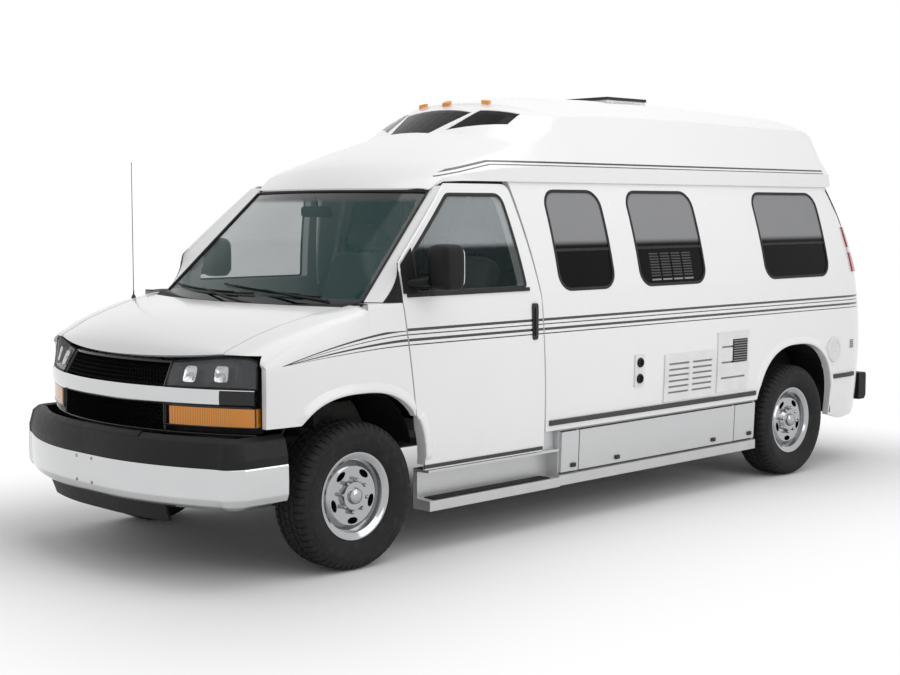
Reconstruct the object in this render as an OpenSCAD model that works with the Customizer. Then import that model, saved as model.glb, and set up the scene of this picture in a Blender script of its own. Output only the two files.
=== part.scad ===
// Camper van: a raised-roof camper built on a long-wheelbase panel van.
// X runs forward, Y to the van's left, Z up from the ground. Millimetres.
// Stations along the van are measured from the front axle and shifted once, in place().

/* [Overall] */
// Distance between the axles
wheelbase = 3937; // [3900:1:3980]
// Front axle to the foremost face of the bumper
front_overhang = 970; // [955:1:990]
// Rear axle to the rearmost face of the bumper
rear_overhang = 1100; // [1090:1:1130]
// Width of the body at the waist
body_w = 2010; // [1990:2:2030]
// Height of the roof's crown
roof_z = 2530; // [2510:1:2560]
// Height where the raised roof sits on the body
eave_z = 1968; // [1960:1:1980]

/* [Body panels] */
// Thickness of the side walls
wall_t = 45; // [35:1:55]
// Thickness of the doors
door_t = 62; // [50:1:70]
// Thickness of a door's outer flange
flange_t = 15; // [10:1:20]
// How far a door's inner part stands in from its flange
flange_w = 28; // [25:1:35]
// Gap round the doors and lids
gap = 8; // [7:0.5:10]
// Thickness of the window glass
glass_t = 6; // [4:0.5:8]
// How far the glass lies inside the outer skin
glass_in = 4; // [2:0.5:6]
// Clearance round each pane
pane_gap = 0.3; // [0.2:0.05:0.4]

/* [Wheels] */
// Outer diameter of the loaded tyres
tyre_d = 752; // [740:2:764]
// Width of the tyres
tyre_w = 245; // [235:1:255]
// Diameter of the rim's lip
rim_d = 446; // [436:1:456]
// Distance between the tyres' middle planes
track = 1736; // [1726:1:1746]
// Diameter of the stub that carries each wheel
stub_d = 60; // [50:1:70]
// Radial running clearance of the wheels on their stubs
hub_gap = 0.05; // [0.03:0.01:0.1]
// Diameter of the circle of wheel studs
stud_circle = 165.1; // [160:0.1:170]
// Half width of the wheel openings in the body
arch_w = 456; // [450:1:462]
// Rise of the wheel openings above their middle
arch_h = 464; // [455:1:470]
// Greatest steering angle the wheel housings allow for
steer_max = 35; // [30:1:36]

/* [Hidden] */
$fn = 48;

// Stations and levels
axle_f_x = (wheelbase + rear_overhang - front_overhang) / 2;
axle_r = -wheelbase;
hub_z = tyre_d / 2;
half = body_w / 2;
sill_z = 452;
waist_z = 1000;
belt_z = 1330;
rear_x = axle_r - rear_overhang + 137;
lamp_x = front_overhang - 360;
mid_y = track / 2;

// Section of the body's side: a shallow barrel below the belt, leaning in above it
side_sag = 28;
side_lean = 0.16;
side_crown = 0.00018;
belt_y = half - side_sag * pow((belt_z - waist_z) / (waist_z - sill_z), 2);
function side_y(z) = z < belt_z
    ? half - side_sag * pow((z - waist_z) / (waist_z - sill_z), 2)
    : belt_y - side_lean * (z - belt_z) - side_crown * pow(z - belt_z, 2);

// Plan of the body's side: it draws in towards the lamps and round the rear corners
nose_x = -100;
nose_in = 45;
tail_x = rear_x + 420;
tail_in = 105;
function plan_in(x) = x > nose_x ? nose_in * pow((x - nose_x) / (lamp_x - nose_x), 2)
    : x < tail_x ? tail_in * pow((tail_x - x) / (tail_x - rear_x), 3) : 0;
function skin_y(x, z) = side_y(z) - plan_in(x);

// The back leans forward with height
rake = 245;
rake_z = 850;
function back_lean(z) = z > rake_z ? rake * pow((z - rake_z) / (eave_z - rake_z), 1.6) : 0;
back_bow = 55;
function back_x(y, z) = rear_x + back_bow * pow(y / half, 2) + back_lean(z);

// Stations in the tables are given for this wheelbase, and stretch between the middle pillar and the rear axle
table_base = 3937;
b_x = -1396;
function st(x) = x > b_x ? x
    : x > -table_base ? b_x + (x - b_x) * (axle_r - b_x) / (-table_base - b_x)
    : axle_r + x + table_base;

function steps(a, b, n) = [for (i = [0 : n]) a + (b - a) * i / n];
function mix(a, b, t) = a + (b - a) * t;

// Rounded outline of a window or lid: left, right, low, high, corner radius
function rounded(x0, x1, z0, z1, r, n = 6) = [
    for (corner = [[x1 - r, z1 - r, 0], [x0 + r, z1 - r, 90], [x0 + r, z0 + r, 180], [x1 - r, z0 + r, 270]])
        for (i = [0 : n]) let (a = corner[2] + 90 * i / n) [corner[0] + r * cos(a), corner[1] + r * sin(a)]];

// Outline with its corners rounded: points of [x, z, radius], in order
function fillet(points, n = 5) = [
    for (i = [0 : len(points) - 1])
        let (p = points[i], a = points[(i + len(points) - 1) % len(points)], b = points[(i + 1) % len(points)],
            u = unit([a[0] - p[0], a[1] - p[1]]), v = unit([b[0] - p[0], b[1] - p[1]]),
            corner = acos(max(-1, min(1, u * v))), d = p[2] / tan(corner / 2))
        for (k = [0 : n])
            let (t = k / n, q = [p[0], p[1]], s = q + u * d, e = q + v * d)
            p[2] == 0 ? (k == 0 ? q : undef) : (1 - t) * (1 - t) * s + 2 * t * (1 - t) * q + t * t * e];
function solid_points(points) = [for (p = points) if (p != undef) p];
function unit(v) = v / norm(v);
function outline(points) = solid_points(fillet(points));

// Solid between two grids of points, such as a panel's outer and inner skins
module slab(outer, inner) {
    rows = len(outer) - 1;
    cols = len(outer[0]) - 1;
    w = cols + 1;
    n = (rows + 1) * w;
    points = concat([for (r = outer) for (p = r) p], [for (r = inner) for (p = r) p]);
    function at(r, c) = r * w + c;
    skins = [for (r = [0 : rows - 1]) for (c = [0 : cols - 1]) each [
        [at(r, c), at(r, c + 1), at(r + 1, c + 1)], [at(r, c), at(r + 1, c + 1), at(r + 1, c)],
        [n + at(r, c), n + at(r + 1, c + 1), n + at(r, c + 1)], [n + at(r, c), n + at(r + 1, c), n + at(r + 1, c + 1)]]];
    rims = [for (r = [0 : rows - 1]) each [
        [at(r, 0), at(r + 1, 0), n + at(r + 1, 0)], [at(r, 0), n + at(r + 1, 0), n + at(r, 0)],
        [at(r + 1, cols), at(r, cols), n + at(r, cols)], [at(r + 1, cols), n + at(r, cols), n + at(r + 1, cols)]]];
    ends = [for (c = [0 : cols - 1]) each [
        [at(0, c + 1), at(0, c), n + at(0, c)], [at(0, c + 1), n + at(0, c), n + at(0, c + 1)],
        [at(rows, c), at(rows, c + 1), n + at(rows, c + 1)], [at(rows, c), n + at(rows, c + 1), n + at(rows, c)]]];
    polyhedron(points, concat(skins, rims, ends), convexity = 6);
}

// Solid swept through a row of closed rings, each turning anticlockwise about the way they go
module sweep(rings) {
    w = len(rings[0]);
    last = len(rings) - 1;
    sides = [for (i = [0 : last - 1]) for (j = [0 : w - 1]) let (k = (j + 1) % w) each [
        [i * w + j, (i + 1) * w + j, (i + 1) * w + k], [i * w + j, (i + 1) * w + k, i * w + k]]];
    caps = [[for (j = [0 : w - 1]) j], [for (j = [w - 1 : -1 : 0]) last * w + j]];
    polyhedron([for (r = rings) for (p = r) p], concat(sides, caps), convexity = 6);
}

module place() translate([axle_f_x, 0, 0]) children();
module both_sides() { children(); mirror([0, 1, 0]) children(); }
module y_prism(points, y0, y1) translate([0, y1, 0]) rotate([90, 0, 0]) linear_extrude(y1 - y0) polygon(points);
module x_prism(points, x0, x1) translate([x0, 0, 0]) rotate([90, 0, 90]) linear_extrude(x1 - x0) polygon(points);
module y_rod(d, y0, y1) translate([0, y1, 0]) rotate([90, 0, 0]) cylinder(d = d, h = y1 - y0);
module box(x, y, z) translate([x[0], y[0], z[0]]) cube([x[1] - x[0], y[1] - y[0], z[1] - z[0]]);

// Section of the side between two depths inside the outer skin, as [y, z]
function side_section(d0, d1, z0, z1, n = 14) = concat(
    [for (z = steps(z0, z1, n)) [side_y(z) - d0, z]],
    [for (z = steps(z1, z0, n)) [side_y(z) - d1, z]]);
module side_bar(d0, d1, z, x) x_prism(side_section(d0, d1, z[0], z[1]), x[1], x[0]);

// Side skin that also turns round the rear corner
tail_stations = [tail_x, tail_x - 130, tail_x - 220, tail_x - 290, tail_x - 350, rear_x + 30];
function side_point(x, z, d) = [
    x + (x < tail_x ? back_lean(z) * (tail_x - x) / (tail_x - rear_x) : 0), skin_y(x, z) - d, z];
module side_skin(d0, d1, z0, z1, stations, n = 16) {
    levels = steps(z0, z1, n);
    slab([for (x = stations) [for (z = levels) side_point(x, z, d0)]],
        [for (x = stations) [for (z = levels) side_point(x, z, d1)]]);
}

// Wheel opening about station x0, widened by g
arch_z = hub_z + 61;
function arch(x0, g, n = 26) = concat([for (i = [0 : n]) let (a = 180 * i / n)
    [x0 + (arch_w + g) * sign(cos(a)) * pow(abs(cos(a)), 0.8), arch_z + (arch_h + g) * pow(sin(a), 0.8)]],
    [[x0 - arch_w - g, 150], [x0 + arch_w + g, 150]]);

// Outlines on the sides, as [x, z]
floor_z = 660;
rail_z = [480, 620];
door_top = eave_z - 15;
seam_low = [-430, -1388];
seam_belt = [-300, -1345];
seam_top = [-752, -1235];
knee = [-302, 1543];
top_gap = 18;
function door_outline(g) = outline([[seam_low[0] - g, sill_z + g, 12], [seam_belt[0] - g, belt_z + 8, 40],
    [knee[0] - g, knee[1] - g / 2, 60], [seam_top[0] - g, door_top - g, 30], [seam_top[1] + g, door_top - g, 60],
    [seam_belt[1] + g, belt_z, 60], [seam_low[1] + g, sill_z + g, 25]]);
door_pane_z = [1385, 1893];
function door_pane(g) = outline([[-398 - g, door_pane_z[0] + g, 14], [-410 - g, 1590, 60], [-744 - g, door_pane_z[1] - g, 60],
    [-1160 + g, door_pane_z[1] - g, 60], [-1230 + g, door_pane_z[0] + g, 24]]);
pane_z = [1358, 1918];
pane_r = 95;
left_panes = [[st(-1515), st(-2000)], [st(-2250), st(-2900)], [axle_r + 365, axle_r - 403]];
right_panes = [[st(-2790), st(-3290)], [axle_r + 365, axle_r - 403]];
function wall_pane(w, g) = rounded(w[1] + g, w[0] - g, pane_z[0] + g, pane_z[1] - g, pane_r - g);

// Side doors on the right: front edge, meeting line and rear edge of the two leaves
leaf_x = [st(-1425), st(-2120), st(-2590)];
skirt_top = 560;
leaf_z = [skirt_top + 15, eave_z - 34];
leaf_top_gap = 24;
function leaf_front(g) = outline([[leaf_x[0] - g, leaf_z[0] + g, 25], [leaf_x[0] - g, leaf_z[1] - g, 50],
    [leaf_x[1] + leaf_top_gap + g, leaf_z[1] - g, 20], [leaf_x[1] + gap + g, belt_z, 40],
    [leaf_x[1] + gap + g, leaf_z[0] + g, 15]]);
function leaf_rear(g) = outline([[leaf_x[1] - g, leaf_z[0] + g, 15], [leaf_x[1] - g, leaf_z[1] - g, 20],
    [leaf_x[2] + g, leaf_z[1] - g, 50], [leaf_x[2] + g, leaf_z[0] + g, 25]]);
leaf_pane_z = [1358, 1888];
leaf_front_pane = [leaf_x[0] - 90, leaf_x[1] + 90];
leaf_rear_pane = [leaf_x[1] - 85, leaf_x[2] + 85];
function leaf_pane(w, g) = rounded(w[1] + g, w[0] - g, leaf_pane_z[0] + g, leaf_pane_z[1] - g, 80 - g);

// Rear doors, as [y, z]
rear_door_z = [665, eave_z - 18];
rear_door_y = half - 149;
rear_pane_z = [1290, 1840];
function rear_door_outline(g) = outline([[gap / 2 + g, rear_door_z[0] + g, 20], [gap / 2 + 5 + g, rear_door_z[1] - g, 20],
    [rear_door_y - 172 - g, rear_door_z[1] - g, 60], [rear_door_y - 72 - g, 1640, 60], [rear_door_y - g, belt_z, 120],
    [rear_door_y - g, rear_door_z[0] + g, 30]]);
function rear_pane(g) = outline([[110 + g, rear_pane_z[0] + g, 60], [120 + g, rear_pane_z[1] - g, 60],
    [rear_door_y - 262 - g, rear_pane_z[1] - g, 70], [rear_door_y - 172 - g, rear_pane_z[0] + g, 60]]);
module back_skin(d0, d1, n = 14) {
    across = steps(0, half - 40, 8);
    levels = steps(rear_door_z[0] - 30, eave_z + 10, n);
    slab([for (z = levels) [for (y = across) [back_x(y, z) + d0, y, z]]],
        [for (z = levels) [for (y = across) [back_x(y, z) + d1, y, z]]]);
}

// Plan of the bumper from the right wheel round to the left: [x, y]
wing_x = 436;
wing_y = half - 38;
bumper_bow = 182;
plate_flat = (wing_y - 115) / 8;
function bumper_set(y) = bumper_bow * pow(max(0, y - plate_flat) / (wing_y - 115 - plate_flat), 2);
bumper_half = concat([for (y = steps(0, wing_y - 115, 8)) [front_overhang - bumper_set(y), y]],
    [for (a = [24, 46, 68, 90]) [front_overhang - bumper_bow - 140 + 140 * cos(a), wing_y - 115 + 115 * sin(a)]],
    [[wing_x, wing_y + 4]]);
bumper_path = concat([for (i = [len(bumper_half) - 1 : -1 : 1]) [bumper_half[i][0], -bumper_half[i][1]]], bumper_half);
rear_path = [for (y = steps(half - 105, 105 - half, 10)) [axle_r - rear_overhang + 22 * pow(y / half, 2), y]];
function way(path, i) = unit(path[min(i + 1, len(path) - 1)] - path[max(i - 1, 0)]);
function along(path, profile) = [for (i = [0 : len(path) - 1]) let (w = way(path, i))
    [for (q = profile) [path[i][0] + q[0] * w[1], path[i][1] - q[0] * w[0], q[1]]]];

// Front face: a revolved face about an upright axis behind the engine, leaning back above the bar
face_r = 1663;
face_x = front_overhang - 95;
bar_z = [872, 956];
lean_z = bar_z[1] - 6;
lamp_a = [asin((half - 505) / face_r), asin((half - 75) / face_r)];
grille_a = lamp_a[0] - 0.8;
function face_lean(z) = max(0, z - lean_z) * 0.55;
module face_ring(profile, a0, a1) translate([face_x - face_r, 0, 0]) rotate([0, 0, a0])
    rotate_extrude(angle = a1 - a0, $fn = 128) polygon([for (q = profile) [face_r + q[0] - face_lean(q[1]), q[1]]]);
// Point of the front face at angle a, with the lean fading out round the lamps
function face_point(a, z, d) =
    let (r = face_r + d - face_lean(z) * (1 - 0.8 * max(0, (abs(a) - lamp_a[0]) / (lamp_a[1] - lamp_a[0]))))
    [face_x - face_r + r * cos(a), r * sin(a), z];
module face_slab(angles, levels, d0, d1)
    slab([for (a = angles) [for (z = levels) face_point(a, z, d0)]], [for (a = angles) [for (z = levels) face_point(a, z, d1)]]);

// Hood sections: middle x, how far the edge lies behind it, how far inside the body's side, edge z, middle z
hood_rows = [[140, 150, 167, 1322, 1322], [300, 130, 190, 1290, 1312], [460, 115, 220, 1245, 1284],
    [600, 118, 240, 1200, 1248], [700, 136, 255, 1164, 1210], [760, 148, 262, 1144, 1168],
    [790, 153, 265, 1132, 1130], [800, 154, 267, 1122, 1092]];
hood_t = 28;
lip_t = 12;
hood_n = 12;
function hood_point(r, t, d) = [r[0] - r[1] * t * t, t * (half - r[2]), mix(r[4], r[3], t * t) - d];

// Fender sections share the hood's edge: edge x, edge y, edge z, fall of the shoulder
fender_t = 40;
fender_low = 600;
fender_low_z = 770;
fender_rows = concat([[-440, half - 133, 1342, 20], [-56, half - 153, 1330, 24]],
    [for (r = hood_rows) [r[0] - r[1], half - r[2] + gap, r[3], min(64, 45 + (r[0] - r[1]) * 0.05)]]);
function fender_point(r, c, d) =
    let (side_x = r[0] - max(0, r[0] - 200) * 0.19, zs = r[2] - r[3], ys = skin_y(side_x, zs))
    c <= 6 ? let (z = mix(fender_low, zs, c / 6)) [side_x, skin_y(side_x, z) - d, z]
    : let (a = 90 * (c - 6) / 6) [mix(side_x, r[0], (c - 6) / 6),
        mix(r[1], ys, cos(a)) - d * cos(a), mix(zs, r[2], sin(a)) - d * sin(a)];

// Raised roof sections: middle x, how far the edge lies behind it, how far the shoulder lies in, shoulder z, crown z
lip_y = side_y(eave_z) + 16;
roof_end = rear_x + 340;
roof_rows = [[-570, 75, 285, 1948, 1956], [-650, 105, 280, 2004, 2034], [-780, 130, 275, 2044, 2096],
    [-1000, 200, 280, 2112, 2180], [-1236, 290, 290, 2180, 2256], [-1262, 300, 293, 2192, 2266],
    [-1490, 300, 300, 2320, 2398], [-1600, 275, 303, 2352, roof_z - 76], [st(-2050), 150, 305, 2372, roof_z - 18],
    [st(-3000), 0, 305, 2376, roof_z], [roof_end + 130, 0, 305, 2360, roof_z - 36], [roof_end + 30, 0, 315, 2330, roof_z - 62],
    [roof_end, 0, 335, 2290, roof_z - 96]];
roof_t = 30;
ledge_z = 90;
roof_n = 16;
// One quarter of a section from the lip (c = 0) to the crown (c = roof_n), with the direction of its face
function roof_quarter(r, c) =
    let (lip_z = eave_z - (r[0] > -640 ? 50 : r[0] > -700 ? 5 : 0), ledge = min(ledge_z, (r[3] - lip_z) * 0.5), y1 = half - r[2],
        lip_y = lip_y - max(0, r[0] + 900) * 0.2)
    c == 0 ? [lip_y, lip_z, 0] : c == 1 ? [lip_y, lip_z + ledge, 0] : c == 2 ? [lip_y - 10, lip_z + ledge + 4, 10]
    : c <= 6 ? let (t = (c - 2) / 4) [mix(lip_y - 10, y1, t), mix(lip_z + ledge + 4, r[3], t), 20]
    : let (t = (c - 6) / (roof_n - 6), y = y1 * (1 - t)) [y, r[3] + (r[4] - r[3]) * (1 - pow(y / y1, 2.4)), mix(60, 90, min(1, t * 2.5))];
function roof_point(r, k, d) =
    let (c = roof_n - abs(k - roof_n), s = k < roof_n ? -1 : 1, q = roof_quarter(r, c), y = q[0] - d * cos(q[2]))
    [r[0] - r[1] * pow(q[0] / lip_y, 2), s * y, c == 0 ? q[1] : max(q[1] - d * sin(q[2]), eave_z - 60)];
module roof_skin(d0, d1) {
    rows = [for (i = [len(roof_rows) - 1 : -1 : 0]) roof_rows[i]];
    function end_row(d) = [for (k = [0 : 2 * roof_n]) let (p = roof_point(rows[0], k, d)) [roof_end - 14 + d, p[1], eave_z]];
    slab(concat([end_row(d0)], [for (r = rows) [for (k = [0 : 2 * roof_n]) roof_point(r, k, d0)]]),
        concat([end_row(d1)], [for (i = [0 : len(rows) - 1])
            [for (k = [0 : 2 * roof_n]) let (p = roof_point(rows[i], k, d1)) [max(p[0], roof_end - 14 + d1 + 2 + i), p[1], p[2]]]]));
}
bubble_front = [[-1262, 840 - half], [-1262, half - 840], [-1520, half - 730], [-1520, 730 - half]];
bubble_side = [[-1316, half - 755], [-1535, half - 453], [-1655, half - 460], [-1560, half - 700]];
module plan_prism(points, z0, z1) translate([0, 0, z0]) linear_extrude(z1 - z0) polygon(points);
function inset(points, g) = let (m = [for (i = [0, 1]) ([for (p = points) p[i]] * [for (p = points) 1]) / len(points)])
    [for (p = points) p + g * unit(m - p)];
vent_x = [st(-3070) - 180, st(-3070) + 180];
vent_y = 175;
vent_z = roof_z + 2;

// Windscreen corner and middle points, base then top: [x, y, z]
screen_low = [[70, 0, 1306], [-20, half - 105, 1342]];
screen_top = [[-578, 0, eave_z - 52], [-640, half - 240, eave_z - 60]];
function screen_point(u, t, d) = let (a = mix(screen_low[0], screen_low[1], u * u), b = mix(screen_top[0], screen_top[1], u * u),
    p = mix(a, b, t)) [p[0] - d, u * mix(screen_low[1][1], screen_top[1][1], t), p[2]];

module chassis_frame() color("DimGray") place() {
    both_sides() box([rear_x - 20, front_overhang - 140], [330, 430], rail_z);
    for (x = [front_overhang - 270, 180, -1150, st(-2050), st(-3150), axle_r - 513])
        box([x, x + 90], [-330, 330], [500, 560]);
}
module floor_pan() color("Gray") place() {
    wide = side_y(rail_z[1]) - wall_t - pane_gap;
    thin = half - 100;
    difference() {
        plan_prism([[-80, -thin], [-80, thin], [-1400, thin], [-1400, wide], [rear_x + 110, wide - 46], [rear_x + 110, 46 - wide],
            [leaf_x[2] - gap, -wide], [leaf_x[2] - gap, -thin]], rail_z[1], floor_z);
        for (x = [0, axle_r])
            both_sides() y_prism(arch(x, 10 + pane_gap), x == 0 ? half - 485 : half - 325, half);
    }
}
module firewall() color("Gray") place() difference() {
    union() {
        box([-125, -85], [135 - half, half - 135], [floor_z, 1270]);
        box([-85, 40], [165 - half, half - 165], [1240, 1270]);
    }
    both_sides() y_prism(arch(0, 10 + pane_gap), half - 485, half);
}
module engine_block() color("DarkSlateGray") place() {
    box([-70, 560], [-290, 290], [560, 1020]);
    translate([-820, 0, 485]) rotate([0, 90, 0]) cylinder(d = 230, h = 751);
    box([-70, -60], [-80, 80], [500, 700]);
}
king_y = mid_y - 68;
module front_suspension() color("DimGray") place() {
    difference() {
        box([-110, 110], [-430, 430], [330, rail_z[0]]);
        box([-200, 200], [-150, 150], [360, 600]);
    }
    both_sides() {
        box([-45, 45], [425, king_y + 32], [296, 334]);
        box([-35, 35], [430, king_y + 28], [500, 524]);
        translate([0, king_y, 300]) cylinder(d = 30, h = 220);
    }
}
module knuckle() place() {
    difference() {
        union() {
            translate([0, king_y, 340]) cylinder(d = 72, h = 154);
            translate([0, 0, hub_z]) y_rod(stub_d, king_y, mid_y + 70);
        }
        translate([0, king_y, 300]) cylinder(d = 30 + 2 * pane_gap, h = 300);
    }
}
module knuckle_left() color("DimGray") knuckle();
module knuckle_right() color("DimGray") mirror([0, 1, 0]) knuckle();
module rear_axle() color("DimGray") place() {
    translate([axle_r, 0, hub_z]) {
        y_rod(90, -700, 700);
        y_rod(stub_d, -mid_y - 70, mid_y + 70);
        sphere(d = 290);
    }
    both_sides() {
        box([axle_r - 620, axle_r + 620], [350, 410], [hub_z + 40, hub_z + 66]);
        for (x = [-620, 570])
            box([axle_r + x, axle_r + x + 50], [350, 410], [hub_z + 50, rail_z[0]]);
    }
    start = [-821, 0, 450];
    run = [axle_r + 100, 0, hub_z] - start;
    translate(start) rotate([0, atan2(run[2], -run[0]) - 90, 0]) cylinder(d = 80, h = norm(run));
}
module exhaust() color("Silver") place() {
    translate([axle_r - 363, 225, 458]) rotate([0, 90, 0]) cylinder(d = 60, h = 163 - axle_r);
    translate([st(-2900), 225, 396]) rotate([0, 90, 0]) cylinder(d = 190, h = st(-2250) - st(-2900));
    for (x = [-1150, st(-2050), st(-3150)])
        box([x + 20, x + 60], [215, 235], [470, 500]);
}
module fuel_tank() color("Black") place() box([st(-2900), st(-1900)], [235 - half, -440], [330, rail_z[1]]);

module front_fenders() color("White") place() both_sides() difference() {
    intersection() {
        slab([for (i = [len(fender_rows) - 1 : -1 : 0]) [for (c = [0 : 12]) fender_point(fender_rows[i], c, 0)]],
            [for (i = [len(fender_rows) - 1 : -1 : 0]) [for (c = [0 : 12]) fender_point(fender_rows[i], c, fender_t)]]);
        y_prism([[seam_low[0] + gap, sill_z], [mix(seam_low[0], seam_belt[0], 0.85) + gap, 1196], [-56, 1196], [-56, 1400],
            [720, 1400], [720, fender_low_z], [300, fender_low_z], [300, 560]], 600, half + 50);
    }
    y_prism(arch(0, 0), 600, half + 50);
    face_slab(steps(lamp_a[0] - 3, lamp_a[1] + 0.6, 6), [600, lean_z, 1120], 160, -64);
}
// Windscreen pillars: clearance behind the glass, thickness, height of the front top corner and its rise to the door's seam
pillar_edge = 7.7;
pillar_t = 70;
pillar_top = eave_z - 32.6;
pillar_rise = 5;
// Station and half width of the windscreen's edge, and station of the door's seam, at height z
function screen_mix(i, z) = mix(screen_low[1][i], screen_top[1][i], (z - screen_low[1][2]) / (screen_top[1][2] - screen_low[1][2]));
function seam_x(z) = z < knee[1] ? mix(seam_belt[0], knee[0], (z - belt_z) / (knee[1] - belt_z)) + gap
    : mix(knee[0], seam_top[0], (z - knee[1]) / (door_top - knee[1])) + gap + 2;
// Pillar from the windscreen's edge (c = 0) back to the door's seam (c = 3), k of the way up
function pillar_point(c, k, d) = let (z = mix(screen_low[1][2] - 1, pillar_top + pillar_rise * c, k))
    [mix(screen_mix(0, z) - pillar_edge, seam_x(z), c / 3), mix(screen_mix(1, z) + 8, side_y(z), sin(30 * c)) - d, z];
module screen_pillars() color("White") place() both_sides() {
    intersection() {
        x_prism(side_section(0, 110, 1150, screen_low[1][2]), -1000, 100);
        y_prism([[-56, 1196], [-56, 1360], [seam_belt[0] + gap, 1360], [seam_belt[0] + gap, belt_z + 8],
            [mix(seam_low[0], seam_belt[0], 0.85) + gap, 1196]], 600, half + 50);
    }
    bend = (knee[1] - screen_low[1][2] + 1) / (pillar_top + 3 * pillar_rise - screen_low[1][2] + 1);
    levels = concat(steps(0, bend, 5), steps(bend + 0.1, 1, 6));
    slab([for (c = [0 : 3]) [for (k = levels) pillar_point(c, k, 0)]], [for (c = [0 : 3]) [for (k = levels) pillar_point(c, k, pillar_t)]]);
}
// Lower edge of the walls behind the rear wheel
tail_low = [[axle_r - 400, 385], [axle_r - 620, 332], [axle_r - 800, 345], [rear_x - 100, 440]];
module wall(front) {
    intersection() {
        side_skin(0, wall_t, 330, eave_z, concat([-1000], tail_stations));
        y_prism(concat(front, tail_low, [[rear_x - 100, eave_z]]), 600, half + 50);
    }
    door_stop() y_prism([[seam_low[1] + stop_w, skirt_top], [seam_belt[1] + stop_w, belt_z],
        [seam_belt[1] - gap - 20, belt_z], [seam_low[1] - gap - 20, skirt_top]], 600, half + 50);
    intersection() {
        back_skin(door_t + seal_gap, door_t + 25);
        side_skin(10, 300, 640, 1400, tail_stations);
        x_prism(rounded(rear_door_y - stop_w, half, 720, 1220, 5), rear_x - 100, rear_x + 300);
    }
}
// Stop that a door's flange closes on, with its seal's clearance
stop_w = 10;
seal_gap = 0.4;
module door_stop() intersection() {
    side_bar(flange_t + seal_gap, wall_t, [skirt_top - 20, eave_z], [-1000, leaf_x[2] - 200]);
    children();
}
b_seam = [[seam_top[1] - top_gap, eave_z], [seam_belt[1] - gap, belt_z], [seam_low[1] - gap, skirt_top]];
module left_wall() color("White") place() difference() {
    wall(concat(b_seam, [[axle_r + 300, skirt_top]]));
    y_prism(arch(axle_r, 0), 600, half + 50);
    for (w = left_panes)
        y_prism(wall_pane(w, 0), 600, half + 50);
}
module right_wall() color("White") place() mirror([0, 1, 0]) difference() {
    wall(concat(b_seam, [[axle_r + 300, skirt_top]]));
    y_prism(arch(axle_r, 0), 600, half + 50);
    for (w = right_panes)
        y_prism(wall_pane(w, 0), 600, half + 50);
    leaf_hole();
}
module leaf_hole() difference() {
    y_prism([[leaf_x[0] + gap, 500], [leaf_x[0] + gap, leaf_z[1] + gap + 4], [leaf_x[2] - gap, leaf_z[1] + gap + 4],
        [leaf_x[2] - gap, 500]], 600, half + 50);
    door_stop() y_prism([[leaf_x[0] - 60, leaf_z[1] - stop_w], [leaf_x[0] - 60, eave_z], [leaf_x[2] + 60, eave_z],
        [leaf_x[2] + 60, leaf_z[1] - stop_w]], 600, half + 50);
}
module raised_roof() color("White") place() difference() {
    union() {
        roof_skin(0, roof_t);
        box([vent_x[0] - 20, vent_x[1] + 20], [-vent_y - 20, vent_y + 20], [roof_z - 30, vent_z]);
    }
    box([vent_x[0] + 25, vent_x[1] - 25], [-vent_y + 25, vent_y - 25], [roof_z - 100, vent_z + 10]);
    plan_prism(bubble_front, 2000, 2600);
    both_sides() plan_prism(bubble_side, 2000, 2600);
}
module cabin_windows() color("DimGray") place() {
    intersection() {
        side_bar(glass_in, glass_in + glass_t, [1340, 1940], [-1400, axle_r - 513]);
        union() for (w = left_panes) y_prism(wall_pane(w, pane_gap), 600, half + 50);
    }
    mirror([0, 1, 0]) intersection() {
        side_bar(glass_in, glass_in + glass_t, [1340, 1940], [-1400, axle_r - 513]);
        union() for (w = right_panes) y_prism(wall_pane(w, pane_gap), 600, half + 50);
    }
    intersection() {
        roof_skin(glass_in, glass_in + glass_t);
        union() {
            plan_prism(inset(bubble_front, pane_gap * 2), 2000, 2600);
            both_sides() plan_prism(inset(bubble_side, pane_gap * 2), 2000, 2600);
        }
    }
}
module windscreen() color("LightSteelBlue") place()
    slab([for (u = steps(-1, 1, 16)) [for (t = [0, 1]) screen_point(u, t, 0)]],
        [for (u = steps(-1, 1, 16)) [for (t = [0, 1]) screen_point(u, t, 7)]]);

lens_back = -59.7;
module front_panel() color("Black") place() {
    face_slab(concat(steps(-lamp_a[1], -lamp_a[0], 4), steps(-lamp_a[0] * 0.75, lamp_a[0] * 0.75, 6), steps(lamp_a[0], lamp_a[1], 4)),
        [bumper_z[1] + 148, lean_z, 1062], -60, -100);
    both_sides() box([650, 740], [340, 420], [rail_z[1], 760]);
    both_sides() translate([hood_stop[0], hood_stop[1], 1040]) cylinder(d = stop_d, h = hood_stop[2] - 1040);
}
// Posts the hood rests on: the lowest point of its underside over the post
stop_d = 24;
hood_stop = let (a = hood_point(hood_rows[4], 5 / hood_n, hood_t), b = hood_point(hood_rows[5], 5 / hood_n, hood_t))
    (a + b) / 2 - [0, 0, stop_d / 2 * (a[2] - b[2]) / (b[0] - a[0]) + 2 * seal_gap];
module grille() color("Silver") place() {
    face_ring([[lens_back + 6, bar_z[0]], [-4, bar_z[0]], [4, bar_z[0] + 12], [4, bar_z[1] - 12], [-4, bar_z[1]],
        [lens_back + 6, bar_z[1]]], 1.6 - lamp_a[1], lamp_a[1] - 1.6);
    for (z = [748, 772, 796, 820, 844])
        face_ring([[-50, z], [-18, z], [-18, z + 7], [-50, z + 7]], -grille_a, grille_a);
    for (z = [980, 1004, 1028, 1050])
        face_ring([[-50, z], [-18, z], [-18, z + 7], [-50, z + 7]], -grille_a, grille_a);
    for (a = steps(0.3 - grille_a, grille_a - 0.3, 12))
        face_ring([[lens_back, 742], [-22, 742], [-22, lean_z], [-22, 1060], [lens_back, 1060], [lens_back, lean_z]], a - 0.15, a + 0.15);
}
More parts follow.
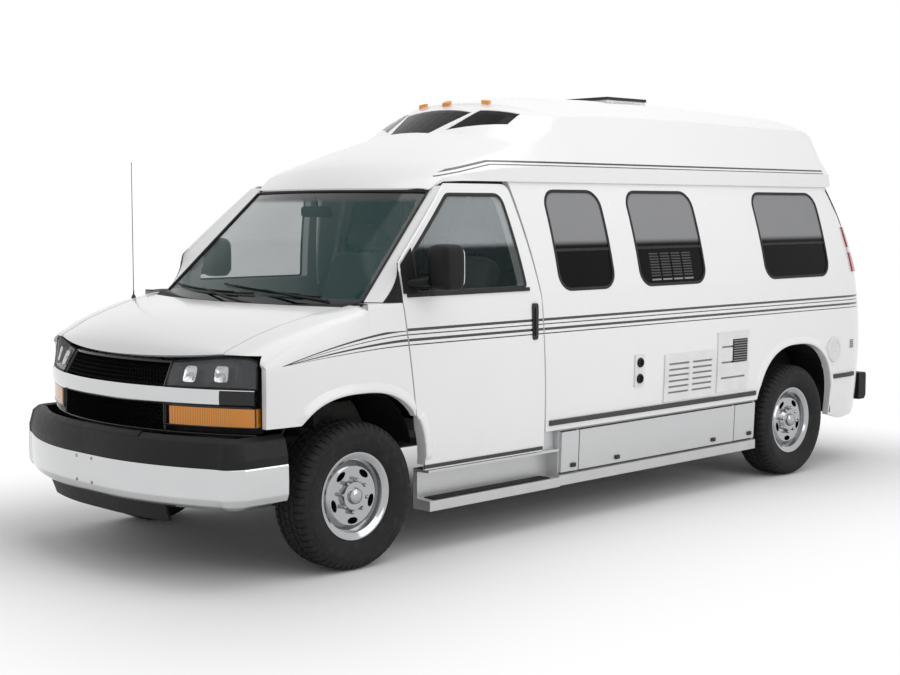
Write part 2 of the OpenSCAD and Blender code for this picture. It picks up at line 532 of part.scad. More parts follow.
module headlamps() color("WhiteSmoke") place() both_sides() intersection() {
    face_slab(steps(lamp_a[0], lamp_a[1], 4), [bar_z[1] + seal_gap, 1118], -2, -52);
    x_prism([[half - 545, 900], [half, 900], [half, 1090], [half - 85, 1096], [half - 125, 1108], [half - 270, 1104],
        [half - 405, 1084], [half - 545, 1070]], 300, 1000);
}
module amber_lamps() color("Orange") place() {
    both_sides() face_ring([[lens_back, 778], [-4, 778], [-4, 866], [lens_back, 866]], lamp_a[0], lamp_a[1]);
    intersection() {
        roof_skin(-20, -pane_gap);
        union() for (y = [-272, 0, 272]) plan_prism(rounded(-1596 - y * y / 1200, -1566 - y * y / 1200, y - 30, y + 30, 8), 2300, 2600);
    }
}
// Holes for a number plate in the bumper's face: spacing across, spacing up, middle height, diameter
plate_hole = [140, 121, 515, 8];
module front_bumper() color("Gainsboro") place() {
    difference() {
        bumper_bar();
        for (y = [-1, 1])
            for (z = [-1, 1])
                translate([front_overhang - 100, y * plate_hole[0] / 2, plate_hole[2] + z * plate_hole[1] / 2])
                    rotate([0, 90, 0]) cylinder(d = plate_hole[3], h = 200);
    }
    both_sides() box([front_overhang - 140, front_overhang - 85], [345, 415], [500, 550]);
}
bumper_z = [390, 594];
module bumper_bar()
    sweep(along(bumper_path, [[-70, bumper_z[1]], [-5, bumper_z[1]], [0, bumper_z[1] - 8], [0, bumper_z[0] + 55],
        [-14, bumper_z[0] + 22], [-45, bumper_z[0]], [-70, bumper_z[0]]]));
module bumper_trim() color("DarkSlateGray") place() {
    pad_z = bumper_z[1];
    sweep(along(bumper_path, [[-90, pad_z + 134], [-55, pad_z + 142], [-24, pad_z + 118], [-3, pad_z + 40], [-4, pad_z], [-70, pad_z]]));
    dam_path = [for (q = bumper_path) if (abs(q[1]) < half - 445) q];
    sweep(along(dam_path, [[-70, bumper_z[0]], [-58, bumper_z[0]], [-88, bumper_z[0] - 85], [-104, bumper_z[0] - 85]]));
}
module rear_bumper() color("DimGray") place() {
    sweep(along(rear_path, [[-90, 620], [-10, 620], [0, 605], [0, 450], [-20, 425], [-90, 425]]));
    both_sides() box([rear_x - 60, rear_x - 20], [345, 415], [500, 560]);
}
// Clearance of the tail lamps on the curved corner
lamp_gap = 0.9;
module tail_lamps() color("Red") place() both_sides()
    side_skin(-12, -lamp_gap, 1372, 1687, [tail_x - 220, tail_x - 290, tail_x - 350, rear_x + 40], 6);

step_section = [[half - 155, 228], [half - 27, 228], [half - 27, 282], [half - 125, 286], [half - 125, 428],
    [half - 37, 432], [half - 37, 446], [half - 155, 446]];
step_x = [-1530, -498];
skirt_x = [axle_r + 447, -1530];
lid_split = [axle_r + 690, skirt_x[1] - 169];
lid_x = [[lid_split[1] + 4, skirt_x[1] - 15], [lid_split[0] + 4, lid_split[1] - 4], [skirt_x[0] + 15, lid_split[0] - 4]];
lid_z = [300, 540];
lid_in = [half - 49, half - 43];
skirt_y = [half - 225, half - 31, half - 55, half - 20];
module skirt_end(x) x_prism([[skirt_y[0], 232], [skirt_y[1], 232], [skirt_y[1], 290], [skirt_y[2], 300], [lid_in[0] - seal_gap, lid_z[0] + 6],
    [lid_in[1] - seal_gap, lid_z[1]], [lid_in[1] - seal_gap, skirt_top - 4], [skirt_y[0], skirt_top - 4]], x - 8, x + 8);
module side_skirts() color("Silver") place() {
    both_sides() x_prism(step_section, step_x[0], step_x[1]);
    both_sides() box([step_x[1] - 1030, step_x[1] - 890], [half - 155, half - 75], [440, skirt_top]);
    x_prism([[skirt_y[0], 232], [skirt_y[1], 232], [skirt_y[1], 290], [skirt_y[2], 300], [skirt_y[0] + 20, 300],
        [skirt_y[0] + 20, skirt_top - 14], [skirt_y[3] - 15, skirt_top - 14], [skirt_y[3], skirt_top], [skirt_y[0], skirt_top]],
        skirt_x[0], skirt_x[1]);
    for (x = [skirt_x[0] + 8, lid_split[0], lid_split[1], skirt_x[1] - 8])
        skirt_end(x);
    mirror([0, 1, 0]) x_prism([[skirt_y[0], 232], [skirt_y[1], 232], [skirt_y[1], 290], [skirt_y[2], 300],
        [lid_in[1], skirt_top - 10], [skirt_y[3], skirt_top - 4], [skirt_y[3], skirt_top], [skirt_y[0], skirt_top]], skirt_x[0], skirt_x[1]);
}
module lid(i) color("Silver") place()
    x_prism([[lid_in[0], lid_z[0] + 6], [lid_in[0] + 14, lid_z[0] + 6], [lid_in[1] + 18, lid_z[1]], [lid_in[1], lid_z[1]]],
        lid_x[i][0], lid_x[i][1]);
module lid_front() lid(0);
module lid_main() lid(1);
module lid_rear() lid(2);
function cowl_edge(u, k) = k == 0
    ? [min(screen_point(u, 0, 0)[0] + 8, hood_point(hood_rows[0], u, 0)[0] - 42), screen_point(u, 0, 0)[2] - 4]
    : [hood_point(hood_rows[0], u, 0)[0] - 22, hood_point(hood_rows[0], u, 0)[2] - 12];
cowl_y = half - 145;
cowl_low = 1270;
module cowl_panel() color("Black") place() {
    across = steps(-0.96, 0.96, 12);
    slab([for (k = [0, 1]) [for (u = across) [cowl_edge(u, k)[0], u * cowl_y, cowl_edge(u, k)[1]]]],
        [for (k = [0, 1]) [for (u = across) [cowl_edge(u, k)[0], u * cowl_y, cowl_low]]]);
    foot = (fender_point(fender_rows[2], 10, 0) + fender_point(fender_rows[3], 10, 0)) / 2;
    translate([foot[0], -foot[1], foot[2] + 2]) cylinder(d = 12, h = 762);
}
// Wheel houses: axle station, inner wall, outer edge
houses = [[0, half - 480, half - 128], [axle_r, half - 320, half - 64]];
house_t = 10;
house_low = 590;
module wheel_houses() color("Black") place() both_sides() for (h = houses) difference() {
    y_prism(arch(h[0], house_t), h[1], h[2]);
    y_prism(arch(h[0], 0), h[0] == 0 ? h[1] - 10 : h[1] + house_t, half);
    box([h[0] - 600, h[0] + 600], [h[1] - 50, half], [100, house_low]);
}
// Equipment on the left side: front x, rear x, low z, high z, louvres
vents = [[st(-2168), st(-2257), 751, 945, 0], [st(-2460), st(-2985), 633, 925, 6], [st(-3008), st(-3350), 647, 1028, 3]];
module service_vents() color("WhiteSmoke") place() {
    for (v = vents) difference() {
        side_bar(-9, -pane_gap, [v[2], v[3]], [v[0], v[1]]);
        if (v[4] > 0) for (i = [0 : v[4] - 1])
            let (z = mix(v[2] + 40, v[3] - 40, (i + 0.5) / v[4])) box([v[1] + 40, v[0] - 40], [half - 12, half + 30], [z - 9, z + 9]);
    }
    intersection() {
        side_bar(-9, -pane_gap, [700, 960], [axle_r - 303, axle_r - 663]);
        translate([axle_r - 453, 0, 830]) y_rod(180, 800, 1100);
    }
}
module dashboard() color("DimGray") place() {
    box([-470, -125], [155 - half, half - 155], [960, 1236]);
    translate([-420, 470, 1120]) rotate([0, -65, 0]) cylinder(d = 60, h = 200);
}
wheel_tilt = 65;
module steering_wheel() color("Black") place() translate([-420, 470, 1120]) rotate([0, -wheel_tilt, 0]) translate([0, 0, 200]) {
    rotate_extrude() translate([185, 14]) circle(d = 28);
    cylinder(d = 90, h = 26);
    for (a = [0, 120, 240])
        rotate([0, 0, a]) box([30, 182], [-15, 15], [6, 20]);
}
module front_seats() color("Tan") place() both_sides() {
    box([-1120, -720], [240, 700], [floor_z, 860]);
    y_prism([[-640, 860], [-640, 990], [-1060, 960], [-1280, 1620], [-1400, 1590], [-1230, 940], [-1160, 860]], 220, 720);
}
module cabinets() color("BurlyWood") place() {
    box([st(-2950), st(-1600)], [half - 525, half - 75], [floor_z, 1290]);
    box([axle_r - 623, axle_r + 377], [345 - half, half - 345], [floor_z, 1060]);
}

module hood() color("White") place()
    slab([for (i = [0 : len(hood_rows) - 1]) [for (t = steps(-1, 1, 2 * hood_n)) hood_point(hood_rows[i], t, 0)]],
        [for (i = [0 : len(hood_rows) - 1]) [for (t = steps(-1, 1, 2 * hood_n)) hood_point(hood_rows[i], t, i > 5 ? lip_t : hood_t) - [i > 5 ? 30 : 0, 0, 0]]]);
module panel_door(depth, skin, inner, pane) difference() {
    union() {
        intersection() {
            side_bar(0, flange_t, [sill_z - 20, eave_z], [-100, leaf_x[2] - 100]);
            y_prism(skin, 600, half + 50);
        }
        intersection() {
            side_bar(flange_t - 4, depth, [sill_z - 20, eave_z], [-100, leaf_x[2] - 100]);
            y_prism(inner, 600, half + 50);
        }
    }
    y_prism(pane, 600, half + 50);
}
module pane_of(points, x) intersection() {
    side_bar(glass_in, glass_in + glass_t, [1300, 1950], x);
    y_prism(points, 600, half + 50);
}
module front_door() place() difference() {
    panel_door(door_t, door_outline(0), door_outline(flange_w), door_pane(0));
    y_prism(arch(0, 8), 600, half + 50);
}
module front_door_glass() place() pane_of(door_pane(pane_gap), [-300, -1300]);
// Mirror: sail plate, arm and head; the right one is turned back along the door
module mirror_head(back, reach) place() {
    side_bar(-14, -pane_gap, [1392, 1500], [-316, -388]);
    x_prism([[side_y(1430) + 10, 1405], [side_y(1430) + 10, 1460], [half + reach + 5, 1480], [half + reach + 5, 1400]], back + 115, -340);
    translate([back, half + reach, 1398]) linear_extrude(238) polygon(rounded(0, 140, 0, 165 - 30 + reach, 40));
}
module left_door() color("White") front_door();
module left_door_glass() color("DimGray") front_door_glass();
module left_mirror() color("Black") mirror_head(-552, 30);
module right_door() color("White") mirror([0, 1, 0]) front_door();
module right_door_glass() color("DimGray") mirror([0, 1, 0]) front_door_glass();
module right_mirror() color("Black") mirror([0, 1, 0]) mirror_head(-712, 12);
module side_door_front() color("White") place() mirror([0, 1, 0])
    panel_door(door_t, leaf_front(0), leaf_front(flange_w), leaf_pane(leaf_front_pane, 0));
module side_glass_front() color("DimGray") place() mirror([0, 1, 0]) pane_of(leaf_pane(leaf_front_pane, pane_gap), [-1400, leaf_x[2] - 100]);
module side_door_rear() color("White") place() mirror([0, 1, 0])
    panel_door(door_t, leaf_rear(0), leaf_rear(flange_w), leaf_pane(leaf_rear_pane, 0));
module side_glass_rear() color("DimGray") place() mirror([0, 1, 0]) pane_of(leaf_pane(leaf_rear_pane, pane_gap), [-1400, leaf_x[2] - 100]);
module back_door() place() difference() {
    intersection() {
        back_skin(0, door_t);
        x_prism(rear_door_outline(0), rear_x - 100, rear_x + 600);
    }
    x_prism(rear_pane(0), rear_x - 100, rear_x + 600);
}
module back_glass() place() intersection() {
    back_skin(glass_in, glass_in + glass_t);
    x_prism(rear_pane(pane_gap), rear_x - 100, rear_x + 600);
}
module rear_door_left() color("White") back_door();
module rear_glass_left() color("DimGray") back_glass();
module rear_door_right() color("White") mirror([0, 1, 0]) back_door();
module rear_glass_right() color("DimGray") mirror([0, 1, 0]) back_glass();
module vent_lid() color("DimGray") place()
    box([vent_x[0] - 26, vent_x[1] + 26], [-vent_y - 26, vent_y + 26], [vent_z + seal_gap, vent_z + 20]);

// Wheels about their own axle line, the outer face towards +Y
rim_r = rim_d / 2;
bead_r = rim_r - 20;
module tyre() rotate([90, 0, 0]) rotate_extrude($fn = 64) polygon(concat(
    [[bead_r + 0.3, -81], [rim_r + 0.6, -86]], tyre_side(-1), [[tyre_d / 2, -82], [tyre_d / 2, 82]],
    [for (i = [2 : -1 : 0]) tyre_side(1)[i]], [[rim_r + 0.6, 86], [bead_r + 0.3, 81]]));
function tyre_side(s) = [[rim_r + 22, s * (tyre_w / 2 - 20)], [rim_r + 72, s * tyre_w / 2], [tyre_d / 2 - 26, s * (tyre_w / 2 - 14)]];
bore_r = stub_d / 2 + hub_gap;
module rim() rotate([-90, 0, 0]) difference() {
    rotate_extrude($fn = 64) polygon([[bore_r, 10], [bore_r, 78], [46, 84], [70, 84], [82, 62], [150, 66], [178, 40], [186, 40], [188, 78],
        [rim_r - 9, 92], [rim_r, 92], [rim_r, 87], [bead_r, 82], [bead_r, -82], [rim_r, -87], [rim_r, -92], [186, -86], [178, 22], [140, 48], [90, 46], [70, 10]]);
    for (i = [0 : 4]) rotate([0, 0, 72 * i + 18]) translate([0, 0, 20]) hand_hole();
}
module hand_hole() linear_extrude(80) polygon([for (a = [0 : 20 : 340]) [128 + 17 * cos(a), 34 * sin(a)]]);
module wheel_at(x, side) place() translate([x, side * mid_y, hub_z]) mirror([0, side > 0 ? 0 : 1, 0]) children();
module tyre_fl() color("Black") wheel_at(0, 1) tyre();
module rim_fl() color("Gainsboro") wheel_at(0, 1) rim();
module tyre_fr() color("Black") wheel_at(0, -1) tyre();
module rim_fr() color("Gainsboro") wheel_at(0, -1) rim();
module tyre_rl() color("Black") wheel_at(axle_r, 1) tyre();
module rim_rl() color("Gainsboro") wheel_at(axle_r, 1) rim();
module tyre_rr() color("Black") wheel_at(axle_r, -1) tyre();
module rim_rr() color("Gainsboro") wheel_at(axle_r, -1) rim();

chassis_frame();
floor_pan();
firewall();
engine_block();
front_suspension();
rear_axle();
exhaust();
fuel_tank();
front_fenders();
screen_pillars();
left_wall();
right_wall();
raised_roof();
cabin_windows();
windscreen();
front_panel();
grille();
headlamps();
amber_lamps();
front_bumper();
bumper_trim();
rear_bumper();
tail_lamps();
side_skirts();
cowl_panel();
dashboard();
front_seats();
cabinets();
wheel_houses();
service_vents();
hood();
left_door();
left_door_glass();
left_mirror();
right_door();
right_door_glass();
right_mirror();
side_door_front();
side_glass_front();
side_door_rear();
side_glass_rear();
rear_door_left();
rear_glass_left();
rear_door_right();
rear_glass_right();
lid_front();
lid_main();
lid_rear();
vent_lid();
knuckle_left();
knuckle_right();
steering_wheel();
tyre_fl();
rim_fl();
tyre_fr();
rim_fr();
tyre_rl();
rim_rl();
tyre_rr();
rim_rr();
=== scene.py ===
"""Looks of a raised-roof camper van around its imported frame. Metres, X forward, Y to the van's left, Z up."""
import math
from functools import reduce

import bmesh
import bpy
from mathutils import Matrix, Vector


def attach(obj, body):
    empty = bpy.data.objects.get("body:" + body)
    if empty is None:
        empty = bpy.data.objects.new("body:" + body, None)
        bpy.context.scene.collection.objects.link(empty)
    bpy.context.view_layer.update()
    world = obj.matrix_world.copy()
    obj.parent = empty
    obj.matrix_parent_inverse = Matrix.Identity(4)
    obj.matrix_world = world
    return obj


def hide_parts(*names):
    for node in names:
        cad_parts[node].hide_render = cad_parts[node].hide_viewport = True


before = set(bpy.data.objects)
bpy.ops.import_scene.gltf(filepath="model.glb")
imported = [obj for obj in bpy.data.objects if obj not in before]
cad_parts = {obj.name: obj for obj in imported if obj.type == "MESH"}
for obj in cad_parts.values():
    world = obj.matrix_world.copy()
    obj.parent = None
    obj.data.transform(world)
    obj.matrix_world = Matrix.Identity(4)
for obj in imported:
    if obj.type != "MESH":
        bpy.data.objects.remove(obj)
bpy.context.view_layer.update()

# Front axle, wheelbase, rear axle and half width of the body
FRONT = 2.0335
BASE = 3.937
REAR = FRONT - BASE
HALF = 1.005


# Camera: focal length and width of the picture in pixels, place, tilt and heading in degrees
FOCAL = 1512.354
PICTURE_WIDE = 900
SENSOR = 36
CAMERA_PLACE = (4.9302 + FRONT, 6.6464, 1.818)
CAMERA_DOWN = 4.877
CAMERA_HEADING = 225.47
camera = bpy.data.cameras.new("camera")
camera.sensor_width = SENSOR
camera.lens = FOCAL * SENSOR / PICTURE_WIDE
camera_object = bpy.data.objects.new("camera", camera)
bpy.context.collection.objects.link(camera_object)
camera_object.location = CAMERA_PLACE
camera_object.rotation_euler = (math.radians(90 - CAMERA_DOWN), 0, math.radians(CAMERA_HEADING - 90))
bpy.context.scene.camera = camera_object
bpy.context.scene.view_settings.view_transform = "Standard"


# Lamps
def soft_lamp(name, place, aim, size, power):
    """Large square lamp at place, facing aim; its power is in watts."""
    lamp = bpy.data.lights.new(name, "AREA")
    lamp.shape = "SQUARE"
    lamp.size = size
    lamp.energy = power
    lamp_object = bpy.data.objects.new(name, lamp)
    bpy.context.collection.objects.link(lamp_object)
    lamp_object.location = place
    lamp_object.rotation_euler = (Vector(aim) - Vector(place)).to_track_quat("-Z", "Y").to_euler()


soft_lamp("overhead", (0.5, 1.5, 6.5), (0, 0, 0.8), 7, 168)
soft_lamp("side_left", (-0.5, 7.5, 3.4), (-0.3, 0, 1.2), 5, 130)


# Materials
class Value:
    """A shader socket that Python arithmetic works on."""

    def __init__(self, finish, socket):
        self.finish = finish
        self.socket = socket

    def work(self, operation, other=None, flip=False):
        first, second = (other, self) if flip else (self, other)
        return self.finish.node("ShaderNodeMath", {"operation": operation}, {0: first, 1: second})

    def __add__(self, other):
        return self.work("ADD", other)

    __radd__ = __add__

    def __sub__(self, other):
        return self.work("SUBTRACT", other)

    def __rsub__(self, other):
        return self.work("SUBTRACT", other, True)

    def __mul__(self, other):
        return self.work("MULTIPLY", other)

    __rmul__ = __mul__

    def __pow__(self, other):
        return self.work("POWER", other)

    def __abs__(self):
        return self.work("ABSOLUTE")

    def __lt__(self, other):
        return self.work("LESS_THAN", other)

    def __gt__(self, other):
        return self.work("GREATER_THAN", other)

    def either(self, other):
        """The larger of two values, so that either of two masks counts."""
        return self.work("MAXIMUM", other)

    def fade(self, low, high, kind="SMOOTHSTEP"):
        """0 at low, 1 at high."""
        settings = {"interpolation_type": kind, "clamp": True}
        return self.finish.node("ShaderNodeMapRange", settings, {0: self, 1: low, 2: high, 3: 0.0, 4: 1.0})


class Finish:
    """A material on the van, with its nodes."""

    def __init__(self, name, color, rough, metal=0.0, coat=0.0, alpha=1.0):
        self.material = bpy.data.materials.new(name)
        self.material.use_nodes = True
        self.tree = self.material.node_tree
        self.shader = self.tree.nodes["Principled BSDF"]
        self.put("Base Color", color)
        self.put("Roughness", rough)
        self.put("Metallic", metal)
        self.put("Coat Weight", coat)
        self.put("Alpha", alpha)
        self.shader.inputs["Coat Roughness"].default_value = 0.06
        self.place = self.node("ShaderNodeTexCoord", out="Object")
        parts = self.tree.nodes.new("ShaderNodeSeparateXYZ")
        self.feed(parts.inputs[0], self.place)
        self.x, self.y, self.z = (Value(self, output) for output in parts.outputs)

    def node(self, kind, settings=None, sockets=None, out=0):
        """New node with its settings and sockets; gives its output as a Value."""
        node = self.tree.nodes.new(kind)
        for key, value in (settings or {}).items():
            setattr(node, key, value)
        for key, value in (sockets or {}).items():
            self.feed(node.inputs[key], value)
        return Value(self, node.outputs[out])

    def feed(self, socket, value):
        """Links a Value to a socket, or sets the socket to a plain value."""
        if isinstance(value, Value):
            self.tree.links.new(value.socket, socket)
        elif isinstance(value, tuple) and socket.type == "RGBA":
            socket.default_value = (*value, 1)
        elif value is not None:
            socket.default_value = value

    def put(self, name, value):
        self.feed(self.shader.inputs[name], value)

    def grain(self, scale, stretch=(1, 1, 1), detail=4.0):
        """Noise from 0 to 1, drawn out along an axis by a small stretch."""
        spot = self.node("ShaderNodeVectorMath", {"operation": "MULTIPLY"}, {0: self.place, 1: stretch})
        return self.node("ShaderNodeTexNoise", None, {"Vector": spot, "Scale": scale, "Detail": detail})

    def mix(self, factor, first, second):
        """The first colour where factor is 0, the second where it is 1."""
        return self.node("ShaderNodeMix", {"data_type": "RGBA"}, {0: factor, 6: first, 7: second}, out=2)

    def bump(self, height, distance, strength=1.0):
        """Relief of the surface: distance is its full height in metres."""
        sockets = {"Height": height, "Distance": distance, "Strength": strength}
        self.put("Normal", self.node("ShaderNodeBump", None, sockets))

    def facing_out(self):
        """1 on faces that look away from the van's middle plane."""
        normal = self.node("ShaderNodeTexCoord", out="Normal")
        side = self.node("ShaderNodeSeparateXYZ", None, {0: normal}, out=1)
        return (side * self.y) > 0.2


def any_of(masks):
    """1 where any of the masks is 1."""
    return reduce(Value.either, masks)


def shade(color, factor):
    """The same colour, darker or lighter."""
    return tuple(part * factor for part in color)


def tinted(finish, color, spread, scale, mask=None, mark=None):
    """Base colour that wanders round color by spread; where mask is 1 the colour is mark."""
    wander = finish.mix(finish.grain(scale), shade(color, 1 - spread), shade(color, 1 + spread))
    finish.put("Base Color", wander if mask is None else finish.mix(mask, wander, mark))


# Stripes: height and half width of each; tip on the fender, start of the sweep, rear end, bend and taper
STRIPES = ((1.199, 0.0074), (1.174, 0.0032), (1.146, 0.0074), (1.121, 0.0032))
STRIPE_TIP = (0.47, 1.066)
STRIPE_BEND = -0.34
STRIPE_END = -4.75
STRIPE_CURVE = 1.7
STRIPE_TAPER = 0.8


def side_stripes(finish):
    """Four dark lines along the waist that sweep down to a point on the front fender."""
    along = finish.x - FRONT
    bend = along.fade(STRIPE_BEND, STRIPE_TIP[0], "LINEAR")
    drop = bend ** STRIPE_CURVE
    taper = 1 - bend * STRIPE_TAPER
    marks = any_of(abs(finish.z - (drop * (STRIPE_TIP[1] - z) + z)) < taper * half for z, half in STRIPES)
    return marks * (along > STRIPE_END) * (along < STRIPE_TIP[0]) * finish.facing_out()


# Painted shade of the roof's two grooves: height and half width of each; rear and front end, where they start
# to fall and how steeply
ROOF_GROOVE_SHADE = ((2.081, 0.0055), (2.062, 0.0032))
ROOF_GROOVE_SHADE_ENDS = (-4.5, -0.77)
ROOF_FALL_START = 1.14
ROOF_FALL = 0.19


def roof_groove_shade(finish):
    """Painted shade of two fine grooves along the raised roof, falling away towards its nose."""
    along = finish.x - FRONT
    fall = (along + ROOF_FALL_START).either(0.0) * ROOF_FALL
    # Near-black lines where the roof's grooves are: painted shade.
    marks = any_of(abs(finish.z + fall - z) < half for z, half in ROOF_GROOVE_SHADE)
    return marks * (along < ROOF_GROOVE_SHADE_ENDS[1]) * (along > ROOF_GROOVE_SHADE_ENDS[0]) * finish.facing_out()


# Body white, dark colour of the stripes and of the roof grooves' painted shade, road dust on white and on
# silver, rust
WHITE = (0.80, 0.80, 0.805)
STRIPE_INK_AND_GROOVE_SHADE = (0.014, 0.014, 0.017)
ROAD_DUST = (0.44, 0.42, 0.39)
ROAD_FILM = (0.30, 0.29, 0.27)
RUST = (0.11, 0.055, 0.03)


def body_paint(name, marks):
    """White enamel with faint orange peel, road film near the ground and its dark lines: painted stripes on the
    sides, painted shade of two grooves on the roof.
    """
    finish = Finish(name, WHITE, 0.25, coat=0.5)
    film = 1 - finish.z.fade(0.30, 0.75)
    tone = finish.mix(finish.grain(2.3), shade(WHITE, 0.975), shade(WHITE, 1.015))
    tone = finish.mix(film * finish.grain(14) * 0.18, tone, ROAD_DUST)
    finish.put("Base Color", finish.mix(marks(finish), tone, STRIPE_INK_AND_GROOVE_SHADE))
    finish.put("Roughness", finish.grain(9) * 0.1 + 0.2)
    finish.bump(finish.grain(520, detail=1.0), 0.00012, 0.35)
    return finish.material


def polished(name, color, rough, spread=0.12):
    """Plated metal with faint smears."""
    finish = Finish(name, color, rough, metal=1.0)
    tinted(finish, color, 0.03, 6)
    finish.put("Roughness", finish.grain(11, detail=6) * spread + rough)
    finish.bump(finish.grain(3.5, detail=2), 0.0006, 0.18)
    return finish.material


def moulded(name, color, rough=0.5, grain=900, depth=0.00022, coat=0.0):
    """Moulded plastic with a fine leather-like grain."""
    finish = Finish(name, color, rough, coat=coat)
    tinted(finish, color, 0.14, 7)
    finish.put("Specular IOR Level", 0.18)
    finish.put("Roughness", finish.grain(24) * 0.16 + rough - 0.08)
    finish.bump(finish.grain(grain, detail=2), depth, 0.6)
    return finish.material


def metal_paint(name, color, metal, rough):
    """Silver paint with metal flake."""
    finish = Finish(name, color, rough, metal=metal, coat=0.25)
    flake = finish.grain(1500, detail=0)
    film = (1 - finish.z.fade(0.22, 0.5)) * finish.grain(12)
    tone = finish.mix(flake, shade(color, 0.90), shade(color, 1.08))
    finish.put("Base Color", finish.mix(film * 0.3, tone, ROAD_FILM))
    finish.put("Roughness", finish.grain(16) * 0.12 + rough - 0.06)
    finish.bump(flake, 0.00012, 0.25)
    return finish.material


# Heights between which a side window's paler top, a painted reflection, sets in, and the height where it stops
PAINTED_REFLECTION_LOW = 1.60
PAINTED_REFLECTION_HIGH = 1.64
PAINTED_REFLECTION_TOP = 2.0


def tinted_glass(name, color, alpha, dust=0.05, painted_reflection=None):
    """See-through pane: dust makes cloudy patches more solid, haze is a paler colour painted towards the top as
    a reflection.
    """
    finish = Finish(name, color, 0.03, alpha=alpha)
    # The paler colour towards the top is a painted reflection.
    mask = painted_reflection and finish.z.fade(PAINTED_REFLECTION_LOW, PAINTED_REFLECTION_HIGH) * (finish.z < PAINTED_REFLECTION_TOP)
    tinted(finish, color, 0.10, 3, mask, painted_reflection)
    finish.put("Alpha", finish.grain(4) * dust + alpha - dust / 2)
    finish.put("Specular IOR Level", 0.07)
    finish.put("Roughness", finish.grain(7) * 0.05 + 0.015)
    return finish.material


# Windscreen's corner height, half width of the clear glass there, its narrowing, clear foot and shade band
SCREEN_Z = 1.342
CLEAR_HALF = 0.832
CLEAR_NARROWS = 0.220
CLEAR_FOOT = 1.362
SHADE_BAND = (1.845, 1.880)


def screen_glass_finish():
    """Windscreen: blue-green glass with a dark border and a shade band along the top."""
    clear, dark = (0.004, 0.085, 0.082), (0.005, 0.006, 0.007)
    finish = Finish("screen_glass", clear, 0.03, alpha=0.30)
    edge = CLEAR_HALF - (finish.z - SCREEN_Z) * CLEAR_NARROWS
    border = (abs(finish.y) - edge).fade(0.0, 0.012).either((CLEAR_FOOT - finish.z).fade(0.0, 0.02))
    mask = border.either(finish.z.fade(*SHADE_BAND))
    finish.put("Base Color", finish.mix(mask, clear, dark))
    finish.put("Alpha", mask * 0.77 + (finish.grain(3) * 0.04 + 0.18))
    finish.put("Roughness", finish.grain(6) * 0.04 + 0.015)
    return finish.material


def waves(finish, axis, scale, **more):
    """Bands from 0 to 1 across an axis."""
    sockets = {"Vector": finish.place, "Scale": scale, **more}
    return finish.node("ShaderNodeTexWave", {"bands_direction": axis}, sockets)


LENS_WHITE = (0.72, 0.70, 0.70)
LENS_STEP = 0.004


def ribbed_lens(name, color, axis, pitch, segment=None):
    """Coloured lamp lens with moulded flutes; segment is a band of z that stays clear white."""
    finish = Finish(name, color, 0.14, coat=0.35)
    ribs = waves(finish, axis, pitch)
    tone = finish.mix(ribs, shade(color, 0.78), shade(color, 1.12))
    if segment:
        low, high = segment
        above, below = finish.z.fade(low, low + LENS_STEP), 1 - finish.z.fade(high - LENS_STEP, high)
        tone = finish.mix(above * below, tone, LENS_WHITE)
    finish.put("Base Color", tone)
    finish.put("Roughness", finish.grain(30) * 0.1 + 0.1)
    finish.bump(ribs, 0.0012, 0.5)
    return finish.material


def rubber(name, color, rough):
    """Black rubber with a little dust."""
    finish = Finish(name, color, rough)
    dust = finish.grain(26, detail=6).fade(0.45, 0.8)
    finish.put("Base Color", finish.mix(dust, color, shade(color, 2.1)))
    finish.put("Specular IOR Level", 0.32)
    finish.put("Roughness", finish.grain(60) * 0.18 + rough - 0.1)
    finish.bump(finish.grain(700), 0.0003, 0.5)
    return finish.material


def underbody(name, color, metal, rough, rust):
    """Rough metal under the van, rusty in patches."""
    finish = Finish(name, color, rough, metal=metal)
    patch = finish.grain(9, detail=8).fade(0.52, 0.72)
    base = finish.mix(finish.grain(40), shade(color, 0.8), shade(color, 1.15))
    finish.put("Base Color", finish.mix(patch * rust, base, RUST))
    finish.put("Roughness", finish.grain(18) * 0.25 + rough - 0.1)
    finish.bump(finish.grain(240), 0.0006, 0.5)
    return finish.material


YARNS = 130.0


def woven(name, color):
    """Woven seat cloth: crossed yarns with a heathered colour."""
    finish = Finish(name, color, 0.9)
    finish.shader.inputs["Sheen Weight"].default_value = 0.3
    warp, weft = (waves(finish, axis, YARNS, Distortion=0.4) for axis in ("Y", "DIAGONAL"))
    heather = finish.grain(300, (1, 0.2, 1))
    tone = finish.mix(heather, shade(color, 0.65), shade(color, 1.3))
    finish.put("Base Color", finish.mix(warp * weft, shade(color, 0.6), tone))
    finish.bump(warp * 0.5 + weft * 0.5, 0.0007, 0.6)
    return finish.material


def timber(name, color):
    """Varnished wood with rings and streaks along X."""
    finish = Finish(name, color, 0.42, coat=0.2)
    rings = finish.node("ShaderNodeTexWave", {"bands_direction": "Z", "wave_profile": "SAW"},
        {"Vector": finish.place, "Scale": 7.0, "Distortion": 5.0, "Detail": 4.0, "Detail Scale": 0.6})
    streaks = finish.grain(60, (0.08, 1, 1))
    tone = finish.mix(rings, shade(color, 0.72), shade(color, 1.1))
    finish.put("Base Color", finish.mix(streaks * 0.5, tone, shade(color, 0.55)))
    finish.put("Roughness", streaks * 0.2 + 0.35)
    finish.bump(streaks, 0.0004, 0.3)
    return finish.material


def no_marks(finish):
    """Mask of 0, for paint without lines."""
    return finish.z * 0.0


